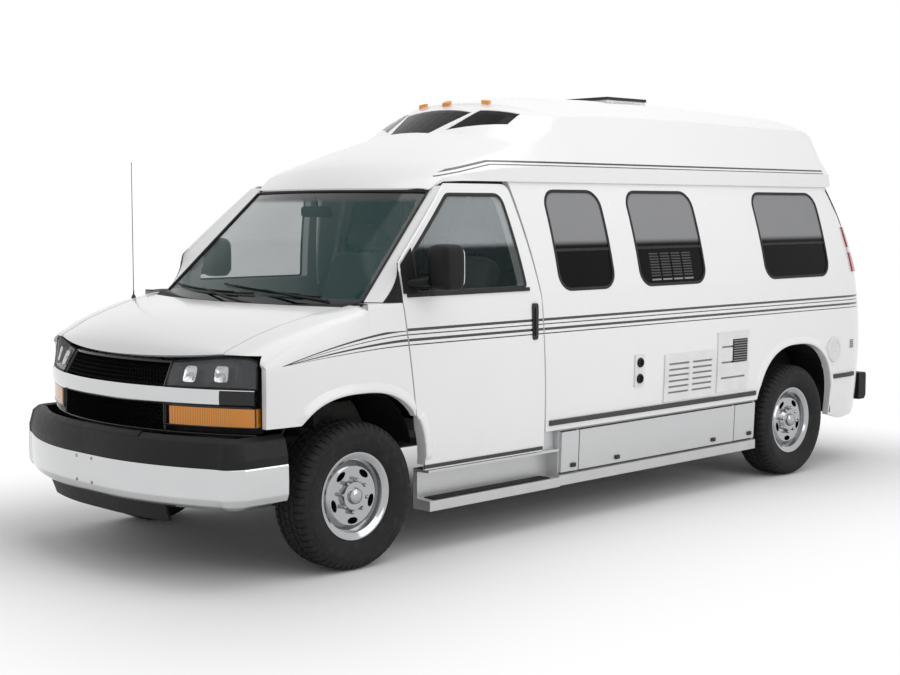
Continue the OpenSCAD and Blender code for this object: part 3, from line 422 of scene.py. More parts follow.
SURFACES = {
    "white": body_paint("white_paint", side_stripes),
    # The roof's two dark lines are painted shade of its grooves.
    "roof": body_paint("roof_gelcoat", roof_groove_shade),
    "plain_white": body_paint("plain_white", no_marks),
    "silver": metal_paint("silver_paint", (0.57, 0.575, 0.58), 0.55, 0.36),
    "chrome": polished("chrome", (0.60, 0.605, 0.61), 0.05),
    "wheel": polished("wheel_chrome", (0.42, 0.425, 0.435), 0.06),
    "black": moulded("black_plastic", (0.007, 0.007, 0.0075)),
    "gloss_black": moulded("gloss_black", (0.010, 0.010, 0.011), 0.22, 500, 0.00008, 0.4),
    "grey": moulded("grey_plastic", (0.015, 0.0148, 0.015), 0.50, 700, 0.0003),
    "trim": moulded("rub_strip", (0.060, 0.058, 0.060), 0.5, 700, 0.0002),
    "dash": moulded("dash_plastic", (0.085, 0.082, 0.078), 0.6, 420, 0.0005),
    "vent": moulded("vent_plastic", (0.72, 0.72, 0.715), 0.38, 500, 0.0001, 0.2),
    # Mid grey plastic, also used as the painted shade in the louvres' slots.
    "vent_dark": moulded("vent_shade", (0.24, 0.245, 0.25), 0.5, 500, 0.0002),
    # Side windows: a paler top painted in as a reflection.
    "dark_glass": tinted_glass("dark_glass", (0.004, 0.0042, 0.005), 0.90, painted_reflection=(0.27, 0.272, 0.28)),
    "door_glass": tinted_glass("door_glass", (0.016, 0.030, 0.031), 0.28, painted_reflection=(0.58, 0.63, 0.65)),
    "screen": screen_glass_finish(),
    "lens": tinted_glass("lamp_glass", (0.30, 0.32, 0.34), 0.16, 0.04),
    "bowl": polished("lamp_bowl", (0.88, 0.89, 0.90), 0.10, 0.05),
    "bulb": moulded("bulb_glass", (0.86, 0.88, 0.92), 0.15, 300, 0.0001, 0.6),
    "amber": ribbed_lens("amber_lens", (0.78, 0.27, 0.006), "X", 60.0),
    "red": ribbed_lens("red_lens", (0.36, 0.012, 0.018), "Z", 55.0, (1.505, 1.545)),
    "steel_frame": underbody("frame_steel", (0.035, 0.034, 0.033), 0.3, 0.6, 0.5),
    "iron": underbody("cast_iron", (0.06, 0.06, 0.062), 0.6, 0.6, 0.6),
    "steel": underbody("bare_steel", (0.36, 0.36, 0.37), 0.9, 0.38, 0.25),
    "tyre": rubber("tyre_rubber", (0.010, 0.010, 0.0105), 0.78),
    "seal": rubber("rubber_seal", (0.011, 0.011, 0.011), 0.62),
    "cloth": woven("seat_cloth", (0.20, 0.195, 0.19)),
    "wood": timber("cabinet_wood", (0.33, 0.19, 0.095)),
    "floor_liner": rubber("floor_liner", (0.10, 0.098, 0.095), 0.8),
    "mirror": polished("mirror_glass", (0.86, 0.88, 0.90), 0.012, 0.01),
}


# Modelling tools
MERGE = 0.00002


def start(name, add, **size):
    """New primitive, alone in edit mode."""
    if bpy.context.object and bpy.context.object.mode != "OBJECT":
        bpy.ops.object.mode_set(mode="OBJECT")
    bpy.ops.object.select_all(action="DESELECT")
    add(**size)
    piece = bpy.context.object
    piece.name = piece.data.name = name
    bpy.ops.object.mode_set(mode="EDIT")
    return piece


def only(piece):
    """Object mode, with this piece alone selected and active."""
    if bpy.context.object and bpy.context.object.mode != "OBJECT":
        bpy.ops.object.mode_set(mode="OBJECT")
    bpy.ops.object.select_all(action="DESELECT")
    piece.select_set(True)
    bpy.context.view_layer.objects.active = piece


def modify(piece, kind, **settings):
    """Adds a modifier and applies it."""
    only(piece)
    modifier = piece.modifiers.new(kind.lower(), kind)
    for key, value in settings.items():
        setattr(modifier, key, value)
    bpy.ops.object.modifier_apply(modifier=modifier.name)


def outward(piece):
    """Merges doubles and turns the faces outwards."""
    only(piece)
    bpy.ops.object.mode_set(mode="EDIT")
    bpy.ops.mesh.select_all(action="SELECT")
    bpy.ops.mesh.remove_doubles(threshold=MERGE)
    bpy.ops.mesh.normals_make_consistent(inside=False)
    bpy.ops.object.mode_set(mode="OBJECT")


def thick(piece, thickness, offset=0):
    """Gives a sheet its thickness and turns its faces outwards."""
    modify(piece, "SOLIDIFY", thickness=thickness, offset=offset)
    outward(piece)
    return piece


def dress(piece, body, surface, angle=35, nodes=()):
    """Last step of a piece: its place applied, shading, material and body."""
    only(piece)
    bpy.ops.object.transform_apply(location=True, rotation=True, scale=True)
    bpy.ops.object.shade_smooth_by_angle(angle=math.radians(angle))
    piece.data.materials.clear()
    piece.data.materials.append(SURFACES[surface])
    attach(piece, body)
    if nodes:
        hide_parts(*nodes)
    return piece


def loft(name, columns, rows, put, caps=False):
    """Grid of columns by rows faces, each point placed by put(u, v) with u and v from 0 to 1."""
    add = bpy.ops.mesh.primitive_grid_add
    piece = start(name, add, x_subdivisions=columns, y_subdivisions=rows, size=2)
    mesh = bmesh.from_edit_mesh(piece.data)
    for point in mesh.verts:
        point.co = put((point.co.x + 1) / 2, (point.co.y + 1) / 2)
    bmesh.update_edit_mesh(piece.data)
    bpy.ops.mesh.select_all(action="SELECT")
    bpy.ops.mesh.remove_doubles(threshold=MERGE)
    if caps:
        bpy.ops.mesh.select_all(action="DESELECT")
        bpy.ops.mesh.select_mode(type="EDGE")
        bpy.ops.mesh.select_non_manifold()
        bpy.ops.mesh.fill_holes(sides=0)
        bpy.ops.mesh.select_mode(type="VERT")
    bpy.ops.mesh.select_all(action="SELECT")
    bpy.ops.mesh.normals_make_consistent(inside=False)
    bpy.ops.object.mode_set(mode="OBJECT")
    return piece


def degrees(*angles):
    """Angles given in degrees, in radians."""
    return [math.radians(angle) for angle in angles]


def at_step(table, t):
    """Point of a table at t from 0 to 1, straight between its entries."""
    place = min(max(t, 0), 1) * (len(table) - 1)
    index = min(int(place), len(table) - 2)
    share = place - index
    return tuple(a + (b - a) * share for a, b in zip(table[index], table[index + 1]))


def turned(name, profile, steps, axis="Y", middle=(0, 0, 0)):
    """Solid of revolution about an axis along X or Y: profile of (radius, distance along the axis)."""
    def put(u, v):
        radius, along = at_step(profile, v)
        angle = 2 * math.pi * u
        across = (radius * math.cos(angle), radius * math.sin(angle))
        spot = (along, *across) if axis == "X" else (across[0], along, across[1])
        return Vector(middle) + Vector(spot)
    return loft(name, steps, len(profile) - 1, put, caps=True)


def block(name, low, high, round_by=0.0, segments=2):
    """Block between two corners, its edges rounded."""
    middle = [(a + b) / 2 for a, b in zip(low, high)]
    piece = start(name, bpy.ops.mesh.primitive_cube_add, size=1, location=middle)
    bpy.ops.mesh.select_all(action="SELECT")
    bpy.ops.transform.resize(value=[b - a for a, b in zip(low, high)])
    if round_by:
        bpy.ops.mesh.bevel(offset=round_by, segments=segments, affect="EDGES")
    bpy.ops.object.mode_set(mode="OBJECT")
    bpy.ops.object.transform_apply(location=True, rotation=True, scale=True)
    return piece


def pebble(name, middle, size, squareness=0.35, columns=40, rows=24):
    """Soft-cornered solid: a ball drawn out towards a box."""
    def power(value):
        return math.copysign(abs(value) ** squareness, value)

    def put(u, v):
        around, up = 2 * math.pi * u, math.pi * (v - 0.5)
        ring = power(math.cos(up))
        spot = (ring * power(math.cos(around)), ring * power(math.sin(around)), power(math.sin(up)))
        return Vector(middle) + Vector([s * part / 2 for s, part in zip(spot, size)])
    return loft(name, columns, rows, put)


def tube(name, points, radius, sides=12):
    """Round rod through the points, with one radius or a radius for each point."""
    path = [Vector(point) for point in points]

    def put(u, v):
        place = v * (len(path) - 1)
        index = min(int(round(place)), len(path) - 1)
        before, after = path[max(index - 1, 0)], path[min(index + 1, len(path) - 1)]
        way = (after - before).normalized()
        upright = abs(way.z) > 0.9
        across = (way.orthogonal() if upright else way.cross(Vector((0, 0, 1)))).normalized()
        upward = across.cross(way)
        angle = 2 * math.pi * u
        size = radius[index] if isinstance(radius, (list, tuple)) else radius
        return path[index] + size * (math.cos(angle) * across + math.sin(angle) * upward)
    return loft(name, sides, len(path) - 1, put, caps=True)


def copy_of(piece, name, move=(0, 0, 0), flip=False):
    """Copy with its own mesh, moved or mirrored to the other side."""
    twin = bpy.data.objects.new(name, piece.data.copy())
    bpy.context.collection.objects.link(twin)
    if flip:
        twin.data.transform(Matrix.Scale(-1, 4, (0, 1, 0)))
        twin.data.flip_normals()
    twin.data.transform(Matrix.Translation(move))
    return twin


def joined(name, pieces):
    """Several meshes as one piece."""
    only(pieces[0])
    for piece in pieces:
        piece.select_set(True)
    bpy.ops.object.join()
    pieces[0].name = pieces[0].data.name = name
    return pieces[0]


def both_sides(piece, name, body, surface, angle=35, nodes=()):
    """Dresses a left-hand piece as name_left and its mirror image as name_right; the left one stands
    for the nodes."""
    piece.name = name + "_left"
    twin = copy_of(piece, name + "_right", flip=True)
    dress(piece, body, surface, angle, nodes)
    dress(twin, body.replace("left", "right"), surface, angle)
    return piece, twin


def skin_of(node, body, surface, angle=30, shape=None):
    """Smoothly shaded copy of a CAD panel, in its place; shape moves its points, or drops them with None."""
    piece = bpy.data.objects.new(node + "_skin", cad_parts[node].data.copy())
    bpy.context.collection.objects.link(piece)
    only(piece)
    bpy.ops.mesh.customdata_custom_splitnormals_clear()
    bpy.ops.object.mode_set(mode="EDIT")
    bpy.ops.mesh.select_all(action="SELECT")
    bpy.ops.mesh.remove_doubles(threshold=MERGE)
    bpy.ops.object.mode_set(mode="OBJECT")
    if shape:
        mesh = bmesh.new()
        mesh.from_mesh(piece.data)
        for point in list(mesh.verts):
            place = shape(point.co)
            if place is None:
                mesh.verts.remove(point)
            else:
                point.co = place
        mesh.to_mesh(piece.data)
        mesh.free()
    dress(piece, body, surface, angle, (node,))
    modifier = piece.modifiers.new("even", "WEIGHTED_NORMAL")
    modifier.keep_sharp = True
    only(piece)
    bpy.ops.object.modifier_apply(modifier="even")
    return piece


# Sides of the body, as in the part's own tables: widest line, waist, curve up to it, lean and curve above it
WIDEST_Z = 1.0
WAIST_Z = 1.33
SIDE_CURVE = 0.028
SIDE_SPAN = 0.548
LEAN = 0.16
LEAN_CURVE = 0.18


def side_y(z):
    """Half width of the body at a height."""
    rise = max(z - WAIST_Z, 0)
    bow = SIDE_CURVE * ((min(z, WAIST_Z) - WIDEST_Z) / SIDE_SPAN) ** 2
    return HALF - bow - LEAN * rise - LEAN_CURVE * rise * rise


# The fenders draw in ahead of FENDER_X, the tail behind TAIL; the back leans above BACK_FOOT and is bowed
FENDER_X = FRONT - 0.1
FENDER_IN, FENDER_SPAN = 0.045, 0.71
TAIL_IN, TAIL_SPAN = 0.105, 0.42
BACK = FRONT - 4.9
TAIL = BACK + TAIL_SPAN
BACK_FOOT, BACK_SPAN = 0.85, 1.118
BACK_LEAN, BACK_POWER = 0.245, 1.6
BACK_BOW = 0.055


def skin_y(x, z):
    """Half width of the outer skin at a place along the van."""
    if x > FENDER_X:
        return side_y(z) - FENDER_IN * ((x - FENDER_X) / FENDER_SPAN) ** 2
    if x < TAIL:
        return side_y(z) - TAIL_IN * ((TAIL - x) / TAIL_SPAN) ** 3
    return side_y(z)


def back_lean(z):
    """How far the back has come forward at a height."""
    return BACK_LEAN * ((z - BACK_FOOT) / BACK_SPAN) ** BACK_POWER if z > BACK_FOOT else 0


def back_x(y, z):
    """Outer face of the back."""
    return BACK + BACK_BOW * (y / HALF) ** 2 + back_lean(z)


# Rounder plan of windscreen and nose: how far the corners go back and in, at the foot and at the top
TUCK_LOW = (0.105, 0.030)
TUCK_TOP = (0.092, 0.022)
TUCK_FOOT, TUCK_RISE = 1.31, 0.61
TUCK_HALF, TUCK_MOST = 0.85, 1.1
# Front edge of the nose: height, share of the thickness that stays, place in the middle and its sweep
NOSE_EDGE = 1.918
NOSE_THIN = 0.3
NOSE_X, NOSE_SWEEP = -0.590, 0.075
NOSE_BLEND_X, NOSE_BLEND = 0.95, 0.33


def tucked(point, share=1.0):
    """Points of the windscreen and the nose go back and in, the further from the middle the more."""
    rise = min(max((point.z - TUCK_FOOT) / TUCK_RISE, 0), 1)
    far = share * min(abs(point.y) / TUCK_HALF, TUCK_MOST) ** 2
    back, inward = [(a + (b - a) * rise) * far for a, b in zip(TUCK_LOW, TUCK_TOP)]
    return Vector((point.x - back, point.y - math.copysign(inward, point.y), point.z))


def tucked_roof(point):
    """The nose follows the windscreen, and its front edge is drawn down thin."""
    along = point.x - FRONT
    if along > NOSE_X - NOSE_SWEEP * (point.y / TUCK_HALF) ** 2:
        point = Vector((point.x, point.y, NOSE_EDGE + NOSE_THIN * (point.z - NOSE_EDGE)))
    share = min(max((along + NOSE_BLEND_X) / NOSE_BLEND, 0), 1)
    return tucked(point, share * share * (3 - 2 * share))


# Top of the block that stays under the pillar, and the level where the pillar's own foot lies
FOOT_TOP = 1.3425
FOOT_LEVEL, FOOT_TOLERANCE = 1.341, 0.0004


def pillar_foot(point):
    """Only the block under the windscreen's corner stays; the pillar itself is modelled with the glass."""
    return None if point.z > FOOT_TOP or abs(point.z - FOOT_LEVEL) < FOOT_TOLERANCE else point


# Front face: radius and foremost place of its plan, height where its lean starts, lean and its fading
FACE_R = 1.663
FACE_X = FRONT + 0.875
BAR_TOP = 0.950
FACE_LEAN, FACE_FADE = 0.55, 0.8
LAMP_IN = math.asin((HALF - 0.505) / FACE_R)
LAMP_OUT = math.asin((HALF - 0.075) / FACE_R)


def face_point(angle, z, depth):
    """Point of the front face: angle round its upright axis, height, depth out of the face."""
    fade = 1 - FACE_FADE * max(0, (abs(angle) - LAMP_IN) / (LAMP_OUT - LAMP_IN))
    radius = FACE_R + depth - max(0, z - BAR_TOP) * FACE_LEAN * fade
    return Vector((FACE_X - FACE_R + radius * math.cos(angle), radius * math.sin(angle), z))


def rounded(low_x, high_x, low_z, high_z, radius, steps=8):
    """Oblong with round corners, as (x, z) points."""
    left, right, foot, top = low_x + radius, high_x - radius, low_z + radius, high_z - radius
    points = []
    for x, z, turn in ((right, top, 0), (left, top, 90), (left, foot, 180), (right, foot, 270)):
        for step in range(steps + 1):
            angle = math.radians(turn + 90 * step / steps)
            points.append((x + radius * math.cos(angle), z + radius * math.sin(angle)))
    return points


def fillet(corners, steps=6):
    """Outline through (x, z, radius) corners, each rounded."""
    points = []
    for index, (x, z, radius) in enumerate(corners):
        spot = Vector((x, z))
        ways = [(Vector(corners[(index + step) % len(corners)][:2]) - spot).normalized() for step in (-1, 1)]
        reach = radius / math.tan(ways[0].angle(ways[1]) / 2)
        first, last = spot + ways[0] * reach, spot + ways[1] * reach
        for step in range(steps + 1):
            t = step / steps
            points.append(tuple((1 - t) ** 2 * first + 2 * t * (1 - t) * spot + t * t * last))
    return points


def spread(points, count):
    """The same closed outline at even distances."""
    loop = [Vector(point) for point in points] + [Vector(points[0])]
    lengths = [(b - a).length for a, b in zip(loop, loop[1:])]
    total, even, index, gone = sum(lengths), [], 0, 0.0
    for step in range(count):
        goal = total * step / count
        while gone + lengths[index] < goal:
            gone += lengths[index]
            index += 1
        share = (goal - gone) / lengths[index] if lengths[index] else 0
        even.append(loop[index].lerp(loop[index + 1], share))
    return even


GASKET_SIDES = 10
GASKET_SUNK = -0.35


def gasket(name, outline, surface_at, width, height, count=120):
    """Rounded rubber frame along an outline; surface_at(x, z, out) gives points on the panel."""
    points = spread(outline, count)
    middle = sum(points, Vector((0, 0))) / count
    turns = [2 * math.pi * k / GASKET_SIDES for k in range(GASKET_SIDES)]
    section = [(width * math.cos(a), height * max(GASKET_SUNK, math.sin(a))) for a in turns]

    def put(u, v):
        index = round(u * count) % count
        way = (points[(index + 1) % count] - points[index - 1]).normalized()
        side = Vector((way.y, -way.x))
        if side.dot(points[index] - middle) < 0:
            side = -side
        offset, out = section[round(v * GASKET_SIDES) % GASKET_SIDES]
        spot = points[index] + side * offset
        return Vector(surface_at(spot.x, spot.y, out))
    return loft(name, count, GASKET_SIDES, put)


# Studio floor and white surroundings
WHITE_TO = ("Is Camera Ray", "Is Glossy Ray", "Is Transmission Ray")
FLOOR_WIDE = 60
FLOOR_GREY = (0.86, 0.86, 0.86)
# Half length and half width of the floor that keeps the shadow, and the distances over which it turns white
SHADOW_LONG, SHADOW_WIDE = 2.7, 1.1
SHADOW_FADE = (0.05, 1.8)
SKY_LIGHT = 0.58


def studio():
    """Floor that turns white away from the van, in white surroundings that light it evenly."""
    floor = start("floor", bpy.ops.mesh.primitive_plane_add, size=FLOOR_WIDE, location=(0, 0, 0))
    bpy.ops.object.mode_set(mode="OBJECT")
    finish = Finish("studio_floor", FLOOR_GREY, 0.9)
    tinted(finish, FLOOR_GREY, 0.01, 0.6)
    ahead = (abs(finish.x) - SHADOW_LONG).either(0.0)
    beside = (abs(finish.y) - SHADOW_WIDE).either(0.0)
    away = ((ahead * ahead + beside * beside) ** 0.5).fade(*SHADOW_FADE)
    seen = any_of(finish.node("ShaderNodeLightPath", out=kind) for kind in WHITE_TO)
    white = finish.node("ShaderNodeEmission", None, {"Color": (1.0, 1.0, 1.0), "Strength": 1.0})
    lit = Value(finish, finish.shader.outputs[0])
    blend = finish.node("ShaderNodeMixShader", None, {0: away * seen, 1: lit, 2: white})
    finish.feed(finish.tree.nodes["Material Output"].inputs["Surface"], blend)
    floor.data.materials.append(finish.material)
    world = bpy.data.worlds.new("studio")
    bpy.context.scene.world = world
    world.use_nodes = True
    nodes, links = world.node_tree.nodes, world.node_tree.links
    light = nodes["Background"]
    light.inputs["Color"].default_value = (1, 1, 1, 1)
    light.inputs["Strength"].default_value = SKY_LIGHT
    seen = nodes.new("ShaderNodeBackground")
    seen.inputs["Color"].default_value = (1, 1, 1, 1)
    path = nodes.new("ShaderNodeLightPath")
    choice = nodes.new("ShaderNodeMixShader")
    factor = path.outputs[WHITE_TO[0]]
    for kind in WHITE_TO[1:]:
        either = nodes.new("ShaderNodeMath")
        either.operation = "MAXIMUM"
        links.new(factor, either.inputs[0])
        links.new(path.outputs[kind], either.inputs[1])
        factor = either.outputs[0]
    links.new(factor, choice.inputs["Fac"])
    links.new(light.outputs[0], choice.inputs[1])
    links.new(seen.outputs[0], choice.inputs[2])
    links.new(choice.outputs[0], nodes["World Output"].inputs["Surface"])


studio()

# CAD nodes that stay as they are: node, surface
PLAIN_NODES = {
    "chassis_frame": "steel_frame", "floor_pan": "floor_liner", "firewall": "steel_frame",
    "engine_block": "iron", "front_suspension": "steel_frame", "rear_axle": "steel_frame",
    "exhaust": "steel", "fuel_tank": "black", "front_panel": "black", "amber_lamps": "amber",
    "tail_lamps": "red", "cabinets": "wood", "wheel_houses": "black",
    "knuckle_left": "steel_frame", "knuckle_right": "steel_frame", "cabin_windows": "dark_glass",
    "left_door_glass": "door_glass", "right_door_glass": "door_glass", "side_glass_front": "dark_glass",
    "side_glass_rear": "dark_glass", "rear_glass_left": "dark_glass", "rear_glass_right": "dark_glass",
}
for node, surface in PLAIN_NODES.items():
    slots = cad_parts[node].data.materials
    slots.clear()
    slots.append(SURFACES[surface])

# Panels shown by a smoothly shaded copy: slot, surface, and the nodes with their bodies
PANELS = (
    ("white_paint", "white", (("left_wall", "body"), ("right_wall", "body"), ("front_fenders", "body"))),
    ("white_paint", "plain_white", (("screen_pillars", "body"),)),
    ("white_paint", "roof", (("raised_roof", "body"),)),
    ("white_paint", "plain_white", (("hood", "hood"),)),
    ("white_paint", "white", (("left_door", "door_left"), ("right_door", "door_right"))),
    ("white_paint", "white", (("side_door_front", "side_front"), ("side_door_rear", "side_rear"))),
    ("white_paint", "white", (("rear_door_left", "rear_left"), ("rear_door_right", "rear_right"))),
    ("silver_paint", "silver", (("side_skirts", "body"), ("lid_front", "locker_front"))),
    ("silver_paint", "silver", (("lid_main", "locker_main"), ("lid_rear", "locker_rear"))),
    ("dark_glass", "gloss_black", (("vent_lid", "roof_vent"),)),
    ("screen_glass", "screen", (("windscreen", "body"),)),
    ("grey_plastic", "dash", (("dashboard", "body"),)),
    ("black_plastic", "black", (("steering_wheel", "body"),)),
    ("vent_plastic", "vent", (("service_vents", "body"),)),
    ("grey_plastic", "grey", (("rear_bumper", "body"),)),
)
SHAPES = {"windscreen": tucked, "screen_pillars": pillar_foot, "raised_roof": tucked_roof}
for slot, surface, nodes in PANELS:
    for node, body in nodes:
        skin_of(node, body, surface, shape=SHAPES.get(node))


# Front bumper: half width, its corner's reach across and back, bow of its face, foremost place and rear end
WING = HALF - 0.038
CORNER_WIDE = 0.115
CORNER_LONG = 0.14
CORNER = WING - CORNER_WIDE
BOW = 0.182
NOSE = FRONT + 0.97
WING_END = (FRONT + 0.436, WING + 0.004)
FACE_STEPS = 8


def bumper_plan():
    """Plan of the bumper's face from the right wheel round to the left."""
    flat = CORNER / FACE_STEPS
    half = []
    for step in range(FACE_STEPS + 1):
        y = CORNER * step / FACE_STEPS
        half.append((NOSE - BOW * (max(0, y - flat) / (CORNER - flat)) ** 2, y))
    for angle in degrees(24, 46, 68, 90):
        back = CORNER_LONG - CORNER_LONG * math.cos(angle)
        half.append((NOSE - BOW - back, CORNER + CORNER_WIDE * math.sin(angle)))
    half.append(WING_END)
    return [(x, -y) for x, y in half[:0:-1]] + half


def eased(points, per_step=6):
    """The same row of points with a smooth curve through them."""
    knots = [Vector(point) for point in points]
    knots = [2 * knots[0] - knots[1]] + knots + [2 * knots[-1] - knots[-2]]
    curve = []
    for a, b, c, d in zip(knots, knots[1:], knots[2:], knots[3:]):
        for step in range(per_step):
            t = step / per_step
            square, cube = 2 * a - 5 * b + 4 * c - d, 3 * b - a - 3 * c + d
            curve.append(0.5 * (2 * b + (c - a) * t + square * t ** 2 + cube * t ** 3))
    return curve + [knots[-2]]


def swept(name, path, corners):
    """Solid along a plan path; corners are (distance outwards, z, corner radius)."""
    profile = fillet(corners, 4)
    profile.append(profile[0])

    def put(u, v):
        index = round(u * (len(path) - 1))
        way = (path[min(index + 1, len(path) - 1)] - path[max(index - 1, 0)]).normalized()
        out, z = profile[round(v * (len(profile) - 1))]
        return Vector((path[index].x + out * way.y, path[index].y - out * way.x, z))
    return loft(name, len(path) - 1, len(profile) - 1, put, caps=True)


# Sections of the bumper's pieces: distance outwards, height, corner radius
CHROME_SECTION = ((-0.07, 0.594, 0.002), (0, 0.594, 0.009), (0.002, 0.51, 0.05), (0, 0.445, 0.03),
    (-0.014, 0.412, 0.018), (-0.045, 0.39, 0.014), (-0.07, 0.39, 0.002))
PAD_SECTION = ((-0.09, 0.728, 0.004), (-0.055, 0.736, 0.010), (-0.024, 0.712, 0.014),
    (-0.003, 0.634, 0.010), (-0.004, 0.594, 0.002), (-0.09, 0.594, 0.002))
DAM_SECTION = ((-0.07, 0.39, 0.002), (-0.056, 0.39, 0.003), (-0.086, 0.305, 0.004), (-0.104, 0.305, 0.004))
LEDGE_SECTION = ((-0.064, 0.732, 0.001), (-0.062, 0.742, 0.003), (-0.050, 0.740, 0.003),
    (-0.026, 0.719, 0.003), (-0.026, 0.708, 0.001))
DAM_HALF = 0.56
LEDGE_HALF = 0.42
bumper_path = eased(bumper_plan())
bar = swept("bumper_chrome", bumper_path, CHROME_SECTION)
dress(bar, "body", "chrome", nodes=("front_bumper",))
pad = swept("bumper_pad", bumper_path, PAD_SECTION)
dam = swept("air_dam", [point for point in bumper_path if abs(point.y) < DAM_HALF], DAM_SECTION)
dress(joined("bumper_pad", [pad, dam]), "body", "grey", nodes=("bumper_trim",))
ledge = swept("bumper_ledge", [point for point in bumper_path if abs(point.y) < LEDGE_HALF], LEDGE_SECTION)
dress(ledge, "body", "black")

# Rims of the four holes for the number plate: radius and distance outwards; places across and up
HOLE_RIM = ((0.0005, -0.002), (0.004, -0.002), (0.006, 0.001), (0.0075, 0.001), (0.0075, -0.006))
HOLES = [(y, z) for y in (-0.07, 0.07) for z in (0.4545, 0.5755)]
for number, (y, z) in enumerate(HOLES):
    hole = turned("plate_hole_%d" % number, HOLE_RIM, 20, "X", (NOSE + 0.001, y, z))
    dress(hole, "body", "black")


# Grille, lamps and their surrounds
def face_strip(name, turns, corners, columns=48):
    """Solid round the front face between two angles; corners are (depth, z, corner radius)."""
    profile = fillet(corners, 4)
    profile.append(profile[0])
    first, last = degrees(*turns)

    def put(u, v):
        out, z = profile[round(v * (len(profile) - 1))]
        return face_point(first + (last - first) * u, z, out)
    return loft(name, columns, len(profile) - 1, put, caps=True)


# Degrees round the front face: edge of the grille, ends of the lens, end of the bright bar, outer end
GRILLE_TURN = 15.9
LENS_TURN = (16.5, 33.9)
BAR_TURN = 27.4
FACE_TURN = 33.6
BAR_CORNERS = ((-0.05, 0.872, 0.002), (-0.003, 0.872, 0.004), (0.005, 0.886, 0.008), (0.007, 0.914, 0.03),
    (0.005, 0.942, 0.008), (-0.003, 0.956, 0.004), (-0.05, 0.956, 0.002))
bar = face_strip("grille_bar", (-BAR_TURN, BAR_TURN), BAR_CORNERS, 96)
dress(bar, "body", "chrome", nodes=("grille",))
END_CORNERS = [(out - 0.002, z, radius) for out, z, radius in BAR_CORNERS]
end_block = face_strip("bar_end", (BAR_TURN + 0.05, FACE_TURN), END_CORNERS, 16)
both_sides(end_block, "bar_end", "body", "gloss_black")
LINE_CORNERS = ((-0.004, 0.951, 0.001), (0.003, 0.951, 0.0015), (0.003, 0.956, 0.0015),
    (-0.004, 0.956, 0.001))
line = face_strip("bar_line", (BAR_TURN, FACE_TURN), LINE_CORNERS, 16)
both_sides(line, "bar_line", "body", "chrome")

# Honeycomb: radius of a cell, half of the wall between cells, depth of the mesh and how far it lies in
CELL = 0.0128
CELL_WALL = 0.0021
MESH_DEEP = 0.016
MESH_IN = 0.026


def honeycomb(name, low, high):
    """Moulded hexagon mesh on the front face between two heights."""
    wide, tall = CELL * math.sqrt(3), CELL * 1.5
    reach = math.radians(GRILLE_TURN) * FACE_R
    piece = start(name, bpy.ops.mesh.primitive_circle_add, vertices=6, radius=CELL)
    mesh = bmesh.from_edit_mesh(piece.data)
    mesh.clear()
    spots = {}

    def corner(s, t):
        """Corner shared by the cells that meet there."""
        key = (round(s * 20000), round(t * 20000))
        if key not in spots:
            spots[key] = mesh.verts.new((s, t, 0))
        return spots[key]

    rows = int((high - low - CELL) / tall)
    rise = (high - low - rows * tall) / 2
    for row in range(rows + 1):
        z = low + rise + row * tall
        count = int((2 * reach - wide * (row % 2)) / wide)
        for column in range(count):
            s = (column - (count - 1) / 2) * wide
            turns = degrees(*range(0, 360, 60))
            mesh.faces.new([corner(s + CELL * math.sin(a), z + CELL * math.cos(a)) for a in turns])
    bmesh.update_edit_mesh(piece.data)
    bpy.ops.mesh.select_all(action="SELECT")
    bpy.ops.mesh.inset(thickness=CELL_WALL, use_individual=True)
    bpy.ops.mesh.delete(type="FACE")
    bpy.ops.object.mode_set(mode="OBJECT")
    modify(piece, "SOLIDIFY", thickness=MESH_DEEP, offset=0)
    for vertex in piece.data.vertices:
        s, z, out = vertex.co
        vertex.co = face_point(s / FACE_R, z, out - MESH_IN)
    outward(piece)
    return piece


for name, low, high in (("mesh_low", 0.742, 0.868), ("mesh_high", 0.960, 1.066)):
    dress(honeycomb(name, low, high), "body", "black", 25)


def face_ring(name, spots, radius, depth, sides=8):
    """Rounded rod through (angle in degrees, z) spots on the front face."""
    return tube(name, [face_point(math.radians(turn), z, depth) for turn, z in spots], radius, sides)


def run(first, last, count):
    """Points at even steps from first to last."""
    return [tuple(a + (b - a) * k / count for a, b in zip(first, last)) for k in range(count + 1)]


EDGE = GRILLE_TURN + 0.3
LIP_CORNERS = ((-0.05, 1.064, 0.002), (-0.012, 1.064, 0.004), (-0.012, 1.076, 0.005), (-0.05, 1.080, 0.002))
SILL_CORNERS = ((-0.06, 0.728, 0.002), (-0.012, 0.728, 0.004), (-0.012, 0.742, 0.004), (-0.06, 0.742, 0.002))
lip = face_strip("grille_lip", (-EDGE, EDGE), LIP_CORNERS)
sill = face_strip("grille_sill", (-FACE_TURN, FACE_TURN), SILL_CORNERS, 80)
posts = [face_ring("grille_post", run((turn, low), (turn, high), 6), 0.009, -0.018)
    for turn in (-EDGE, EDGE) for low, high in ((0.742, 0.872), (0.956, 1.070))]
dress(joined("grille_frame", [lip, sill, *posts]), "body", "gloss_black")


# Headlamp: foot of its lens, and the top edge as (angle, height)
LENS_FOOT = 0.961
LENS_TOP = ((16.5, 1.070), (21, 1.083), (26, 1.100), (30, 1.106), (32.6, 1.103), (33.9, 1.090))


def lens_top(turn):
    """Top edge of the headlamp by its angle."""
    for (a, low), (b, high) in zip(LENS_TOP, LENS_TOP[1:]):
        if turn <= b:
            return low + (high - low) * (turn - a) / (b - a)
    return LENS_TOP[-1][1]


def lens_spot(u, v, depth, grow=0.0):
    """Point of the headlamp's opening across and up, each from 0 to 1."""
    turn = LENS_TURN[0] + (LENS_TURN[1] - LENS_TURN[0]) * u
    low, high = LENS_FOOT - grow, lens_top(turn) + grow
    return face_point(math.radians(turn), low + (high - low) * v, depth)


def lens_face(u, v):
    return lens_spot(u, v, -0.006 + 0.005 * math.sin(math.pi * v))


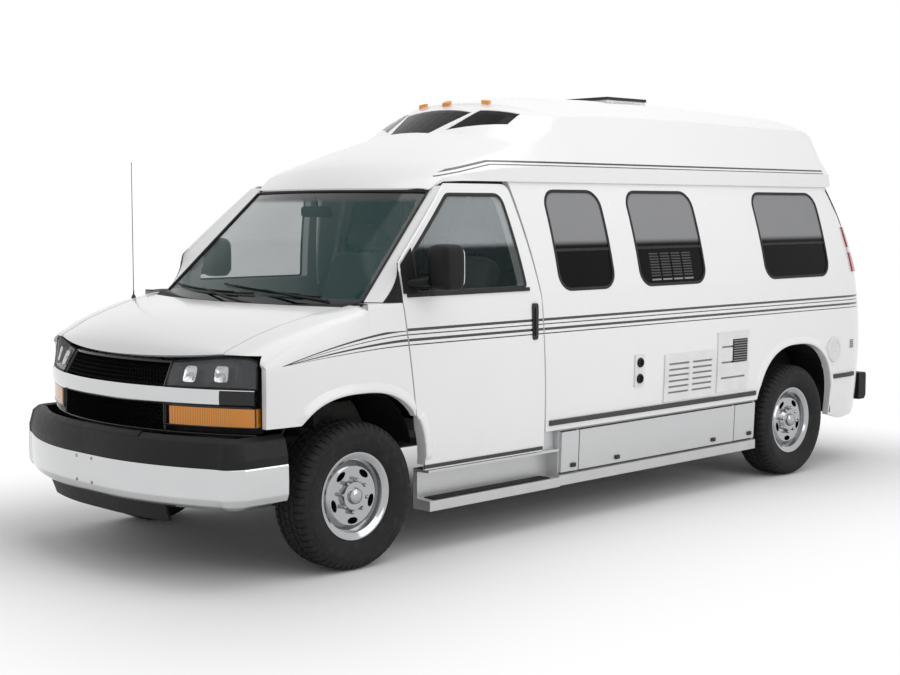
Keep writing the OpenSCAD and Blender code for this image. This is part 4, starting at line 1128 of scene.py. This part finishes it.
def shell_face(u, v):
    """Dark tray behind the lens, with its rim turned forward."""
    return lens_spot(u, v, -0.050 + 0.036 * max(abs(2 * u - 1) ** 6, abs(2 * v - 1) ** 6))


def flute_face(u, v):
    """Twelve upright ribs at the lamp's outer end."""
    return lens_spot(0.80 + 0.18 * u, 0.06 + 0.86 * v, -0.02 + 0.003 * math.cos(2 * math.pi * u * 12))


lens = thick(loft("lens", 32, 10, lens_face), 0.003, -1)
both_sides(lens, "lens", "body", "lens", nodes=("headlamps",))
shell = thick(loft("shell", 24, 6, shell_face), 0.002, 1)
both_sides(shell, "lamp_shell", "body", "gloss_black")
across = [k / 20 for k in range(21)]
border = [(u, 0) for u in across] + [(1, v) for v in (0.25, 0.5, 0.75)]
border += [(1 - u, 1) for u in across] + [(0, v) for v in (0.75, 0.5, 0.25, 0)]
ring = tube("lamp_border", [lens_spot(u, v, -0.006, 0.002) for u, v in border], 0.0055, 8)
both_sides(ring, "lamp_border", "body", "black")
flutes = thick(loft("flutes", 96, 6, flute_face), 0.002, -1)
both_sides(flutes, "lamp_flutes", "body", "grey")

BOWL_SIZE = 0.037
BULB_SIZE = (0.024, 0.02, 0.02)


def reflector(name, turn, z):
    """Square-shouldered bright bowl in the lamp."""
    def put(u, v):
        angle = 2 * math.pi * u
        reach = BOWL_SIZE * v / (abs(math.cos(angle)) ** 5 + abs(math.sin(angle)) ** 5) ** 0.2
        side = math.radians(turn) + reach * math.cos(angle) / FACE_R
        return face_point(side, z + reach * math.sin(angle), -0.044 + 0.032 * v * v)
    return thick(loft(name, 40, 10, put), 0.0015, -1)


for name, turn, z in (("inner", 20.9, 1.020), ("outer", 27.2, 1.026)):
    both_sides(reflector(name, turn, z), "lamp_bowl_" + name, "body", "bowl")
    bulb = pebble("bulb", face_point(math.radians(turn), z, -0.024), BULB_SIZE, 0.8, 20, 12)
    both_sides(bulb, "lamp_bulb_" + name, "body", "bulb")

# Rim of the turn lamp: inner and outer angle, foot and top
RIM_IN, RIM_OUT = 16.3, 33.7
RIM_FOOT, RIM_TOP = 0.774, 0.871
rim = run((RIM_IN, RIM_FOOT), (RIM_OUT, RIM_FOOT), 16)
rim += run((RIM_OUT, RIM_TOP), (RIM_IN, RIM_TOP), 16)
rim = face_ring("amber_rim", [*rim, rim[0]], 0.005, -0.006)
both_sides(rim, "amber_rim", "body", "gloss_black")


# Windscreen before it is tucked: distance from the front axle and height, in the middle and at the edge
SCREEN_LOW = ((0.070, 1.306), (-0.020, SCREEN_Z))
SCREEN_TOP = ((-0.578, 1.916), (-0.640, 1.908))
SCREEN_HALF, SCREEN_NARROWS = 0.900, 0.135
SCREEN_RISE = SCREEN_TOP[1][1] - SCREEN_Z
# Direction out of the glass
SCREEN_OUT = Vector((0.72, 0, 0.69))


def screen_point(u, t, out=0.0):
    """Point of the windscreen across (-1 to 1) and up (0 to 1), at a distance in front of it."""
    low, top = [[a + (b - a) * u * u for a, b in zip(*ends)] for ends in (SCREEN_LOW, SCREEN_TOP)]
    x, z = [a + (b - a) * t for a, b in zip(low, top)]
    return tucked(Vector((FRONT + x, u * (SCREEN_HALF - SCREEN_NARROWS * t), z))) + SCREEN_OUT * out


# Windscreen pillars: the door's seam with its knee and slope, foot and height of pillar and black corner
SEAM_X = FRONT - 0.292
SEAM_KNEE = 1.543
SEAM_SLOPE = 0.450 / 0.410
PILLAR_FOOT, PILLAR_TALL = 1.3405, 0.595
CORNER_FOOT, CORNER_TALL, CORNER_SHARE = 1.341, 0.235, 0.56


def pillar_spot(c, z, out):
    """Point of the left windscreen pillar, from the glass (c = 0) round to the door's seam (c = 1)."""
    glass = screen_point(1, (z - SCREEN_Z) / SCREEN_RISE)
    seam = Vector((SEAM_X - SEAM_SLOPE * max(0, z - SEAM_KNEE), side_y(z), z))
    bend = Vector((0.6 * glass.x + 0.4 * seam.x, seam.y - 0.012, z))
    way = (bend - glass) * (1 - c) + (seam - bend) * c
    spot = glass * (1 - c) ** 2 + bend * 2 * c * (1 - c) + seam * c * c
    return Vector((spot.x, spot.y, z)) + Vector((way.y, -way.x, 0)).normalized() * out


def pillar_face(u, v):
    return pillar_spot(u, PILLAR_FOOT + PILLAR_TALL * v, -0.006)


def corner_face(u, v):
    """Black triangle ahead of the door's window."""
    return pillar_spot(1 - CORNER_SHARE * (1 - v) * (1 - u), CORNER_FOOT + CORNER_TALL * v, 0.001)


pillar = thick(loft("pillar", 12, 26, pillar_face), 0.012)
corner = thick(loft("corner", 8, 12, corner_face), 0.006)
both_sides(pillar, "screen_pillar", "body", "plain_white")
both_sides(corner, "pillar_corner", "body", "black")

# Cowl: reach across the windscreen's foot, front edge and its sweep, height there, ribs
COWL_REACH = 0.96
COWL_X, COWL_SWEEP = FRONT + 0.118, 0.150
COWL_Z = 1.309
COWL_RIBS, COWL_RIB = 90, 0.003


def cowl_spot(u, v):
    """Point of the cowl across and from the glass (v = 0) to the hood (v = 1)."""
    across = COWL_REACH * (2 * u - 1)
    back = screen_point(across, 0)
    front = COWL_X - COWL_SWEEP * across ** 2
    x = min(back.x + 0.008, front - 0.020) * (1 - v) + front * v
    z = (back.z - 0.006) * (1 - v) + COWL_Z * v
    rib = COWL_RIB * max(0, math.cos(2 * math.pi * u * COWL_RIBS)) if 0.1 < v < 0.9 else 0
    return Vector((x, across * (0.93 - 0.07 * v), z + rib))


cowl = thick(loft("cowl", 360, 6, cowl_spot), 0.02)
dress(cowl, "body", "black", nodes=("cowl_panel",))

# Aerial: its foot, then height over it and radius
AERIAL_FOOT = Vector((FRONT + 0.082, -0.905, 1.300))
AERIAL = ((-0.004, 0.014), (0.002, 0.014), (0.014, 0.010), (0.020, 0.005), (0.05, 0.0022), (0.3, 0.0021),
    (0.55, 0.002), (0.772, 0.0018), (0.776, 0.003), (0.780, 0.003), (0.782, 0.001))
stations = [AERIAL_FOOT + Vector((0, 0, height)) for height, _ in AERIAL]
mast = tube("aerial", stations, [radius for _, radius in AERIAL], 10)
dress(mast, "body", "gloss_black")


# Wipers and the windscreen's seal: places across and up the glass
def wiper(name, first, last, pivot):
    """Blade along the foot of the windscreen, its arm and pivot cap."""
    spots = run(first, last, 12)
    blade = tube(name, [screen_point(u, t, 0.010) for u, t in spots], 0.006, 8)
    spine = tube("spine", [screen_point(u, t, 0.020) for u, t in spots[2:11]], 0.004, 6)
    middle = spots[6]
    halfway = [(a + b) / 2 for a, b in zip(pivot, middle)]
    route = ((pivot, 0.012), (pivot, 0.03), (halfway, 0.032), (middle, 0.026))
    arm = tube("arm", [screen_point(*spot, out) for spot, out in route], [0.012, 0.010, 0.007, 0.005], 8)
    dress(joined(name, [blade, spine, arm]), "body", "black")


wiper("wiper_right", (-0.88, 0.075), (0.17, 0.085), (0.24, -0.02))
wiper("wiper_left", (-0.18, 0.150), (0.71, 0.055), (0.80, -0.01))
edge = run((-0.995, 0.0), (-0.995, 0.99), 14)
edge += run((-0.95, 0.995), (0.95, 0.995), 30)
edge += run((0.995, 0.99), (0.995, 0.0), 14)
seal = tube("screen_seal", [screen_point(u, t, 0.002) for u, t in edge], 0.008, 8)
dress(seal, "body", "seal")


# Wheels: distance of their middle plane from the van's, height of their axles, tread pitches round a tyre
TRACK = 0.868
HUB = 0.376
PITCHES = 60
# Where the columns of one tread pitch lie; the second and third make the notch
PITCH_STEPS = (0.0, 0.03, 0.17, 0.20, 0.5, 0.8)
NOTCH = (1, 2)
# Half of the tyre's section from bead to middle: distance from the middle plane and radius of the wall
TYRE_WALL = ((0.081, 0.2033), (0.086, 0.2236), (0.0935, 0.229), (0.1035, 0.245), (0.1135, 0.264),
    (0.1195, 0.283), (0.1222, 0.299), (0.1221, 0.313), (0.1230, 0.3145), (0.1228, 0.3185), (0.1212, 0.320),
    (0.1180, 0.334))
# The same for the tread, with the notch's depth and its shift in columns
TYRE_TREAD = ((0.1130, 0.347, 0.003, 0), (0.1070, 0.3575, 0.006, 0), (0.0990, 0.3655, 0.007, 0),
    (0.0900, 0.3705, 0.007, 0), (0.0780, 0.3735, 0.007, 0), (0.0630, 0.3750, 0.006, 0),
    (0.0615, 0.3665, 0, 0), (0.0545, 0.3665, 0, 0), (0.0530, 0.3753, 0.005, 3), (0.0250, 0.3757, 0.005, 3),
    (0.0235, 0.3668, 0, 0), (0.0165, 0.3668, 0, 0), (0.0150, 0.3758, 0.004, 0))
TYRE_HALF = [(*wall, 0, 0) for wall in TYRE_WALL] + list(TYRE_TREAD)
TYRE_ROWS = TYRE_HALF + [(-row[0], *row[1:]) for row in TYRE_HALF[::-1]] + [TYRE_HALF[0]]


def tyre_spot(u, v):
    """Point of the front left tyre, round it and across its closed section."""
    steps = len(PITCH_STEPS)
    pitch, column = divmod(round(u * PITCHES * steps), steps)
    y, radius, depth, shift = TYRE_ROWS[round(v * (len(TYRE_ROWS) - 1))]
    if (column + shift) % steps in NOTCH:
        radius -= depth
    angle = 2 * math.pi * (pitch + PITCH_STEPS[column]) / PITCHES
    return Vector((FRONT + radius * math.cos(angle), TRACK + y, HUB + radius * math.sin(angle)))


# Turned parts of a wheel: radius and distance out of its middle plane; the studs' circle
CAP = ((0.0005, 0.108), (0.020, 0.107), (0.033, 0.103), (0.039, 0.097), (0.041, 0.090), (0.044, 0.082))
NUT = ((0.0005, 0.094), (0.005, 0.0935), (0.0085, 0.090), (0.0112, 0.084), (0.0112, 0.058))
DRUM = ((0.060, 0.0), (0.060, 0.012), (0.165, 0.012), (0.168, 0.006), (0.168, -0.05))
STUD_R = 0.08255
FIRST_STUD = 10
WHEEL_MIDDLE = (FRONT, TRACK, HUB)
tread = loft("tyre", PITCHES * len(PITCH_STEPS), len(TYRE_ROWS) - 1, tyre_spot)
outward(tread)
cap = turned("cap", CAP, 48, "Y", WHEEL_MIDDLE)
nuts = []
for angle in degrees(*range(FIRST_STUD, 360, 45)):
    spot = (FRONT + STUD_R * math.cos(angle), TRACK, HUB + STUD_R * math.sin(angle))
    nuts.append(turned("nut", NUT, 6, "Y", spot))
hub = joined("hub", [cap, *nuts])
drum = turned("drum", DRUM, 64, "Y", WHEEL_MIDDLE)
for wheel, back, flip in (("fl", 0, False), ("fr", 0, True), ("rl", -BASE, False), ("rr", -BASE, True)):
    body = "wheel_" + wheel
    place = (back, 0, 0)
    tyre = copy_of(tread, "tyre_tread_" + wheel, place, flip)
    dress(tyre, body, "tyre", 30, ("tyre_" + wheel,))
    dress(copy_of(hub, "wheel_nuts_" + wheel, place, flip), body, "wheel", 30)
    dress(copy_of(drum, "brake_drum_" + wheel, place, flip), body, "iron", 30)
    skin_of("rim_" + wheel, body, "wheel", 35)
for piece in (tread, hub, drum):
    bpy.data.objects.remove(piece)


# Points on the outside, at a distance out of the skin
def on_left(x, z, out):
    return Vector((x, skin_y(x, z) + out, z))


def on_right(x, z, out):
    return Vector((x, -skin_y(x, z) - out, z))


def on_back(y, z, out):
    return Vector((back_x(y, z) - out, y, z))


STRIP_FOOT_R = 0.0005
STRIP_ROUND = 0.4


def strip(name, surface_at, first, last, wide, proud, sunk=0.004, columns=16):
    """Rounded bar on a panel from one (x, z) to another."""
    a, b = Vector(first), Vector(last)
    side = Vector((-(b - a).y, (b - a).x)).normalized()
    top_r = min(wide, proud) * STRIP_ROUND
    corners = fillet(((-wide / 2, -sunk, STRIP_FOOT_R), (-wide / 2, proud, top_r), (wide / 2, proud, top_r),
        (wide / 2, -sunk, STRIP_FOOT_R)), 3)
    corners.append(corners[0])

    def put(u, v):
        offset, out = corners[round(v * (len(corners) - 1))]
        spot = a.lerp(b, u) + side * offset
        return surface_at(spot.x, spot.y, out)
    return loft(name, columns, len(corners) - 1, put, caps=True)


# Raised lips round the wheel openings: growth past the opening's edge, and height over the panel
LIP = ((-0.002, -0.016), (-0.002, 0.006), (0.002, 0.011), (0.010, 0.013), (0.022, 0.011), (0.038, 0.005),
    (0.054, -0.003))
LIP_EASE = 0.06
# Wheel openings: half width, rise, height of their middle and squareness
OPENING_WIDE, OPENING_RISE = 0.456, 0.464
OPENING_Z = 0.437
OPENING_SQUARE = 0.8
# Lower front edge of the door: place and height of its foot, slope
DOOR_FOOT_X, DOOR_FOOT_Z = -0.430, 0.452
DOOR_SLOPE = 0.148


def door_seam(z):
    """Front edge of the front door, from the front axle."""
    return DOOR_FOOT_X + DOOR_SLOPE * (z - DOOR_FOOT_Z)


def ahead_of_door(x, z):
    return max(x, door_seam(z) + 0.009)


def on_door(x, z):
    return min(x, door_seam(z) - 0.002)


def anywhere(x, z):
    return x


def wheel_lip(name, middle, first, last, grown, keep):
    """Lip from one turn round an opening to another; keep holds it on its own side of the door's seam."""
    def put(u, v):
        turn = math.radians(first + (last - first) * u)
        grow, out = at_step(LIP, v)
        across = math.copysign(abs(math.cos(turn)) ** OPENING_SQUARE, math.cos(turn))
        x = (OPENING_WIDE + grow + grown) * across
        z = OPENING_Z + (OPENING_RISE + grow + grown) * math.sin(turn) ** OPENING_SQUARE
        ease = min(1, u / LIP_EASE, (1 - u) / LIP_EASE)
        return on_left(middle + keep(x, z), z, out * ease if out > 0 else out)
    return loft(name, 64, 18, put)


# Lips: name, body, axle, first and last turn in degrees, growth, side of the seam
LIPS = (("front_lip", "body", FRONT, 42, 142, 0.0, ahead_of_door),
    ("door_lip", "door_left", FRONT, 145, 175, 0.008, on_door),
    ("rear_lip", "body", REAR, 13, 176, 0.0, anywhere))
for name, body, middle, first, last, grown, keep in LIPS:
    lip = wheel_lip("lip", middle, first, last, grown, keep)
    both_sides(lip, name, body, "plain_white")


def level(name, surface_at, behind, ahead, z, wide, proud, **more):
    """Level strip between two distances from the front axle."""
    return strip(name, surface_at, (FRONT + behind, z), (FRONT + ahead, z), wide, proud, **more)


def slat_row(name, behind, ahead, low, pitch, count, wide, proud):
    """Several level strips above each other on the left side, as one piece."""
    rows = [level(name, on_left, behind, ahead, low + pitch * k, wide, proud) for k in range(count)]
    return joined(name, rows)


# Windows with a rubber frame and a rail: name, body, side, front x, rear x, top and corner radius
PANE_LOW = 1.358
PANE_TOP, PANE_R = 1.918, 0.095
LEAF_TOP, LEAF_R = 1.888, 0.080
WINDOWS = (("w1", "body", on_left, -1.515, -2.000, PANE_TOP, PANE_R),
    ("w2", "body", on_left, -2.250, -2.900, PANE_TOP, PANE_R),
    ("w3", "body", on_left, -3.572, -4.340, PANE_TOP, PANE_R),
    ("w4", "body", on_right, -2.790, -3.290, PANE_TOP, PANE_R),
    ("w5", "body", on_right, -3.572, -4.340, PANE_TOP, PANE_R),
    ("side_front", "side_front", on_right, -1.515, -2.030, LEAF_TOP, LEAF_R),
    ("side_rear", "side_rear", on_right, -2.205, -2.505, LEAF_TOP, LEAF_R))
RAIL_SHARE = 0.40
RAIL_IN = 0.004
for name, body, surface_at, ahead, behind, top, radius in WINDOWS:
    outline = rounded(FRONT + behind, FRONT + ahead, PANE_LOW, top, radius)
    ring = gasket("window_frame_" + name, outline, surface_at, 0.009, 0.004, 144)
    dress(ring, body, "seal")
    rail_z = PANE_LOW + RAIL_SHARE * (top - PANE_LOW)
    ends = (behind + RAIL_IN, ahead - RAIL_IN)
    rail = level("window_rail_" + name, surface_at, *ends, rail_z, 0.016, -0.001, sunk=0.005)
    dress(rail, body, "seal")

# Vent in the second window: how deep the pane lies, front end, length and pitch of the bars, bars in a row
PANE_IN = 0.0045
VENT_X = FRONT - 2.36
BAR_LONG, BAR_PITCH = 0.088, 0.108
VENT_BARS = 4
VENT_ROWS, VENT_Z, VENT_PITCH = 9, 1.412, 0.0165
SLOT_Z = 1.388


def on_pane(x, z, out):
    return on_left(x, z, out - PANE_IN)


def vent_row(z, width):
    """Short bars side by side on the lower pane of the second window."""
    ends = [VENT_X - BAR_PITCH * k for k in range(VENT_BARS)]
    return [strip("slat", on_pane, (x - BAR_LONG, z), (x, z), width, 0.004) for x in ends]


slats = [bar for k in range(VENT_ROWS) for bar in vent_row(VENT_Z + VENT_PITCH * k, 0.009)]
dress(joined("vent_slats", slats), "body", "trim")
dress(joined("vent_slots", vent_row(SLOT_Z, 0.010)), "body", "vent_dark")

# Front doors: corners of the window with their radii, belt seal, black sail ahead of the glass
DOOR_CORNERS = ((-0.398, 1.385, 0.014), (-0.410, 1.590, 0.060), (-0.744, 1.893, 0.060),
    (-1.160, 1.893, 0.060), (-1.230, 1.385, 0.024))
DOOR_PANE = fillet([(FRONT + x, z, radius) for x, z, radius in DOOR_CORNERS])
ring = gasket("door_frame", DOOR_PANE, on_left, 0.010, 0.004, 160)
both_sides(ring, "door_window_frame", "door_left", "seal")
belt = level("belt", on_left, -1.250, -0.330, 1.374, 0.020, 0.008)
both_sides(belt, "door_belt_seal", "door_left", "seal")
SAIL_X, SAIL_LONG = FRONT - 0.306, 0.094
SAIL_FOOT = 1.384
SAIL_TOP, SAIL_RISE = 1.530, 0.085


def sail_spot(u, v):
    """Point of the sail, backwards and up."""
    top = SAIL_TOP + SAIL_RISE * u
    return on_left(SAIL_X - SAIL_LONG * u, SAIL_FOOT + (top - SAIL_FOOT) * v, 0.003)


sail = thick(loft("sail", 8, 10, sail_spot), 0.006)
both_sides(sail, "door_sail", "door_left", "black")


PULL_Z = 1.192
PULL_TALL, PULL_WIDE = 0.205, 0.046


def pull(name, surface_at, x):
    """Upright door pull in a shallow dish."""
    dish = pebble(name, surface_at(x, PULL_Z, 0.0), (PULL_WIDE, 0.022, PULL_TALL), 0.30, 40, 20)
    size = (PULL_WIDE * 0.5, 0.016, PULL_TALL * 0.78)
    grip = pebble("grip", surface_at(x, PULL_Z, 0.012), size, 0.45, 32, 18)
    return joined(name, [dish, grip])


door_pull = pull("door_pull", on_left, FRONT - 1.285)
both_sides(door_pull, "door_pull", "door_left", "gloss_black")
dress(pull("side_pull", on_right, FRONT - 2.055), "side_front", "gloss_black")

# Rub strips: name, body, side, front x, rear x, height
RUB_Z = 0.606
TAIL_RUB_Z = 0.640
RUB_STRIPS = (("left", "body", on_left, -1.420, -3.455, RUB_Z),
    ("left_tail", "body", on_left, -4.410, -4.700, TAIL_RUB_Z),
    ("right_tail", "body", on_right, -4.410, -4.700, TAIL_RUB_Z),
    ("right_front", "side_front", on_right, -1.440, -2.105, RUB_Z),
    ("right_middle", "side_rear", on_right, -2.128, -2.580, RUB_Z),
    ("right_rear", "body", on_right, -2.605, -3.455, RUB_Z))
for name, body, surface_at, ahead, behind, z in RUB_STRIPS:
    rub = level("rub_strip_" + name, surface_at, behind, ahead, z, 0.030, 0.012, columns=40)
    dress(rub, body, "trim")
sill = level("sill", on_left, -1.375, -0.455, 0.470, 0.020, 0.005)
both_sides(sill, "sill_strip", "door_left", "trim")


def tail_spot(x, z, out):
    """Point of the rear corner, where the side leans with the back."""
    return Vector((x + back_lean(z) * (TAIL - x) / TAIL_SPAN, skin_y(x, z) + out, z))


# Strips on the rear pillars, mud flaps and treads on the steps
pillar = strip("pillar", tail_spot, (FRONT - 4.80, 1.70), (FRONT - 4.60, 1.945), 0.026, 0.004)
both_sides(pillar, "pillar_strip", "body", "seal")
flap = block("flap", (FRONT - 4.412, 0.800, 0.385), (FRONT - 4.404, 0.975, 0.640), 0.002)
both_sides(flap, "mud_flap", "body", "seal")
TREAD_Y, TREAD_PITCH, TREAD_WIDE = 0.888, 0.0165, 0.011
treads = []
for y in [TREAD_Y + TREAD_PITCH * k for k in range(5)]:
    treads.append(block("tread", (FRONT - 1.46, y, 0.284), (FRONT - 0.54, y + TREAD_WIDE, 0.290), 0.002))
both_sides(joined("step_tread", treads), "step_tread", "body", "black")

# Latches of the locker lids: body and distance from the front axle
LATCHES = (("locker_front", -1.650), ("locker_main", -2.050), ("locker_main", -3.020),
    ("locker_rear", -3.420))
LATCH_Y, LATCH_Z = 0.9735, 0.340
LATCH_SIZE = (0.046, 0.014, 0.026)
KEY = ((0.0005, 0.010), (0.006, 0.010), (0.008, 0.008), (0.008, 0.0))
for number, (body, x) in enumerate(LATCHES):
    spot = (FRONT + x, LATCH_Y, LATCH_Z)
    case = pebble("latch", spot, LATCH_SIZE, 0.35, 32, 16)
    key = turned("key", KEY, 20, "Y", spot)
    dress(joined("lid_latch_%d" % number, [case, key]), body, "gloss_black")

# Power inlets on the left
INLET = ((0.0005, 0.003), (0.015, 0.003), (0.018, 0.012), (0.026, 0.012), (0.029, 0.008), (0.029, -0.002))
INLET_X = FRONT - 2.2125
for number, z in enumerate((0.800, 0.897)):
    socket = turned("power_inlet_%d" % number, INLET, 40, "Y", on_left(INLET_X, z, 0.007))
    dress(socket, "body", "black")

# Louvres with a strip of painted shade in the slot under each blade: front x, rear x, lowest z, highest z,
# count
LOUVRES = ((-2.500, -2.945, 0.673, 0.885, 6), (-3.048, -3.310, 0.687, 0.988, 3))
BLADE_UP = 0.006
for number, (ahead, behind, low, high, count) in enumerate(LOUVRES):
    for row in range(count):
        z = low + (high - low) * (row + 0.5) / count
        ending = "_%d_%d" % (number, row)
        # Grey strip under the blade: painted shade in the slot.
        shadow = level("louvre_painted_shade" + ending, on_left, behind, ahead, z, 0.0178, 0.002)
        blade = level("louvre_blade" + ending, on_left, behind, ahead, z + BLADE_UP, 0.007, 0.010)
        dress(shadow, "body", "vent_dark")
        dress(blade, "body", "vent")
POST_X = FRONT - 2.7225
post = strip("louvre_post", on_left, (POST_X, 0.665), (POST_X, 0.893), 0.036, 0.0115)
dress(post, "body", "vent")

# Furnace vent, round hatch and small grille on the left
plate = level("furnace_plate", on_left, -3.325, -3.165, 0.905, 0.150, 0.012)
slats = slat_row("furnace_slats", -3.318, -3.172, 0.842, 0.0158, 9, 0.007, 0.017)
dress(plate, "body", "grey")
dress(slats, "body", "vent_dark")
HATCH_X, HATCH_Z = FRONT - 4.39, 0.83
HATCH_RING = ((0.064, 0.006), (0.066, 0.010), (0.078, 0.010), (0.082, 0.006), (0.082, -0.001))
HATCH_LOCK = ((0.0005, 0.006), (0.008, 0.006), (0.011, 0.003), (0.011, -0.002))
ring = turned("hatch_ring", HATCH_RING, 64, "Y", on_left(HATCH_X, HATCH_Z, 0.007))
dress(ring, "body", "vent")
knob = turned("hatch_lock", HATCH_LOCK, 24, "Y", on_left(HATCH_X, HATCH_Z, 0.009))
dress(knob, "body", "chrome")
small = slat_row("small_grille", -4.665, -4.615, 0.835, 0.0125, 5, 0.007, 0.006)
dress(small, "body", "vent_dark")

# Back of the van: corners of the left window with their radii, hinges and the pull
REAR_CORNERS = ((0.110, 1.290, 0.060), (0.120, 1.840, 0.060), (0.594, 1.840, 0.070), (0.684, 1.290, 0.060))
ring = gasket("rear_frame", fillet(REAR_CORNERS), on_back, 0.010, 0.004, 144)
both_sides(ring, "rear_window_frame", "rear_left", "seal")
for number, (y, z) in enumerate(((0.845, 0.86), (0.845, 1.24), (0.785, 1.60))):
    hinge = pebble("hinge", on_back(y, z, 0.006), (0.022, 0.060, 0.070), 0.30, 28, 16)
    both_sides(hinge, "rear_hinge_%d" % number, "rear_left", "plain_white")
handle = pebble("rear_pull", on_back(-0.075, 1.13, 0.004), (0.024, 0.060, 0.150), 0.35, 32, 18)
dress(handle, "rear_right", "gloss_black")


# Door mirrors: size of the head, height of its middle, foot of the arm, the arm's section and its rise
HEAD_LONG, HEAD_TALL = 0.140, 0.238
HEAD_WIDE = 0.135
HEAD_Z = 1.517
ARM_X, ARM_Z = -0.362, 1.432
ARM_LONG, ARM_TALL = 0.030, 0.024
ARM_RISE = 0.014
DOOR_Y = side_y(1.43)


def mirror(side, back, reach):
    """Door mirror; back is the rear of its head, reach how far the head starts outside the door."""
    name = "left" if side > 0 else "right"
    wide = HEAD_WIDE + reach
    middle = Vector((FRONT + back + HEAD_LONG / 2, side * (HALF + reach + wide / 2), HEAD_Z))

    def arm_spot(u, v):
        turn = 2 * math.pi * u
        x = ARM_X + (back + 0.130 - ARM_X) * v + ARM_LONG * math.cos(turn)
        y = DOOR_Y + 0.004 + (HALF + reach + 0.030 - DOOR_Y) * v
        return Vector((FRONT + x, side * y, ARM_Z + ARM_RISE * v + ARM_TALL * math.sin(turn)))

    head = pebble("head", middle, (HEAD_LONG, wide, HEAD_TALL), 0.42, 56, 36)
    arm = loft("arm", 12, 16, arm_spot, caps=True)
    back_face = middle - Vector((0.0655, 0, 0))
    glass = pebble("mirror_glass_" + name, back_face, (0.016, wide * 0.80, 0.195), 0.34, 40, 24)
    for piece in (head, arm, glass):
        outward(piece)
    body = "door_" + name
    case = joined("mirror_case_" + name, [head, arm])
    dress(case, body, "black", 40, (name + "_mirror",))
    dress(glass, body, "mirror", 40)


mirror(1, -0.552, 0.030)
mirror(-1, -0.712, 0.012)

# Mirror inside the windscreen, on its stalk
STALK = ((-0.535, 0.02, 1.815), (-0.545, 0.01, 1.850), (-0.545, 0.0, 1.880))
inner = pebble("inside_mirror", (FRONT - 0.530, 0.02, 1.800), (0.030, 0.250, 0.062), 0.35, 40, 20)
stalk = tube("stalk", [(FRONT + x, y, z) for x, y, z in STALK], 0.008, 10)
dress(joined("inside_mirror", [inner, stalk]), "body", "black", 40)


# Front seats: cushions swelled as cloth, with the base under them
SEAT_VOXEL = 0.014
SEAT_PRESSURE = 4.0
SEAT_STIFFNESS = 25
PRESS_STEPS = 20


def pressed(piece, cap):
    """Puffs a cushion up as cloth under pressure, each point moving no further than cap."""
    modify(piece, "REMESH", mode="VOXEL", voxel_size=SEAT_VOXEL)
    before = [vertex.co.copy() for vertex in piece.data.vertices]
    only(piece)
    cloth = piece.modifiers.new("cloth", "CLOTH")
    cloth.settings.use_pressure = True
    cloth.settings.uniform_pressure_force = SEAT_PRESSURE
    cloth.settings.effector_weights.gravity = 0
    cloth.settings.tension_stiffness = SEAT_STIFFNESS
    cloth.settings.compression_stiffness = SEAT_STIFFNESS
    cloth.settings.bending_stiffness = 2
    cloth.point_cache.frame_start = 1
    cloth.point_cache.frame_end = PRESS_STEPS
    scene = bpy.context.scene
    for step in range(1, PRESS_STEPS + 1):
        scene.frame_set(step)
    shape = piece.evaluated_get(bpy.context.evaluated_depsgraph_get()).data
    after = [vertex.co.copy() for vertex in shape.vertices]
    piece.modifiers.remove(cloth)
    scene.frame_set(1)
    for vertex, old, new in zip(piece.data.vertices, before, after):
        move = new - old
        if move.length > cap:
            move = move.normalized() * cap
        vertex.co = old + move
    modify(piece, "SUBSURF", levels=1)
    return piece


GROOVE_HALF = 0.022
GROOVE_DEEP = 0.014
BOLSTER = 0.018


def stuffed(name, middle, size, tilt, grooves, cap):
    """Seat part with stitched channels along it and raised edges, tilted about Y and pressed."""
    part = pebble(name, (0, 0, 0), size, 0.30, 96, 64)
    for vertex in part.data.vertices:
        across = vertex.co.y / size[1]
        crease = sum(math.exp(-((across - spot) / GROOVE_HALF) ** 2) for spot in grooves)
        if vertex.co.z > 0:
            vertex.co.z -= GROOVE_DEEP * crease
            vertex.co.z += BOLSTER * min(1, (2 * across) ** 4)
    pressed(part, cap)
    x, y, z = middle
    lean = Matrix.Rotation(math.radians(tilt), 4, "Y")
    part.data.transform(Matrix.Translation((FRONT + x, y, z)) @ lean)
    return part


# Seat parts: name, middle from the front axle, size, tilt, channels as shares of the width, swelling
SEAT_PARTS = (
    ("seat_cushion", (-0.868, 0.470, 0.930), (0.440, 0.480, 0.135), -4.0, (-0.26, 0.26), 0.010),
    ("seat_back", (-1.205, 0.470, 1.240), (0.640, 0.470, 0.125), -108.0, (-0.24, 0.24), 0.010),
    ("seat_headrest", (-1.345, 0.470, 1.640), (0.150, 0.270, 0.100), -108.0, (), 0.006),
)
for name, middle, size, tilt, grooves, cap in SEAT_PARTS:
    part = stuffed(name, middle, size, tilt, grooves, cap)
    for piece in both_sides(part, name, "body", "cloth", 60):
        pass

# Seat base and the headrest's two posts
POST_LOW, POST_TOP = (-1.298, 1.470), (-1.338, 1.590)
parts = [block("base", (FRONT - 1.110, 0.250, 0.661), (FRONT - 0.730, 0.690, 0.872), 0.018, 3)]
for y in (0.41, 0.53):
    route = [(FRONT + x, y, z) for x, z in run(POST_LOW, POST_TOP, 2)]
    parts.append(tube("post", route, 0.006, 10))
base = joined("seat_base", parts)
both_sides(base, "seat_base", "body", "black", nodes=("front_seats",))
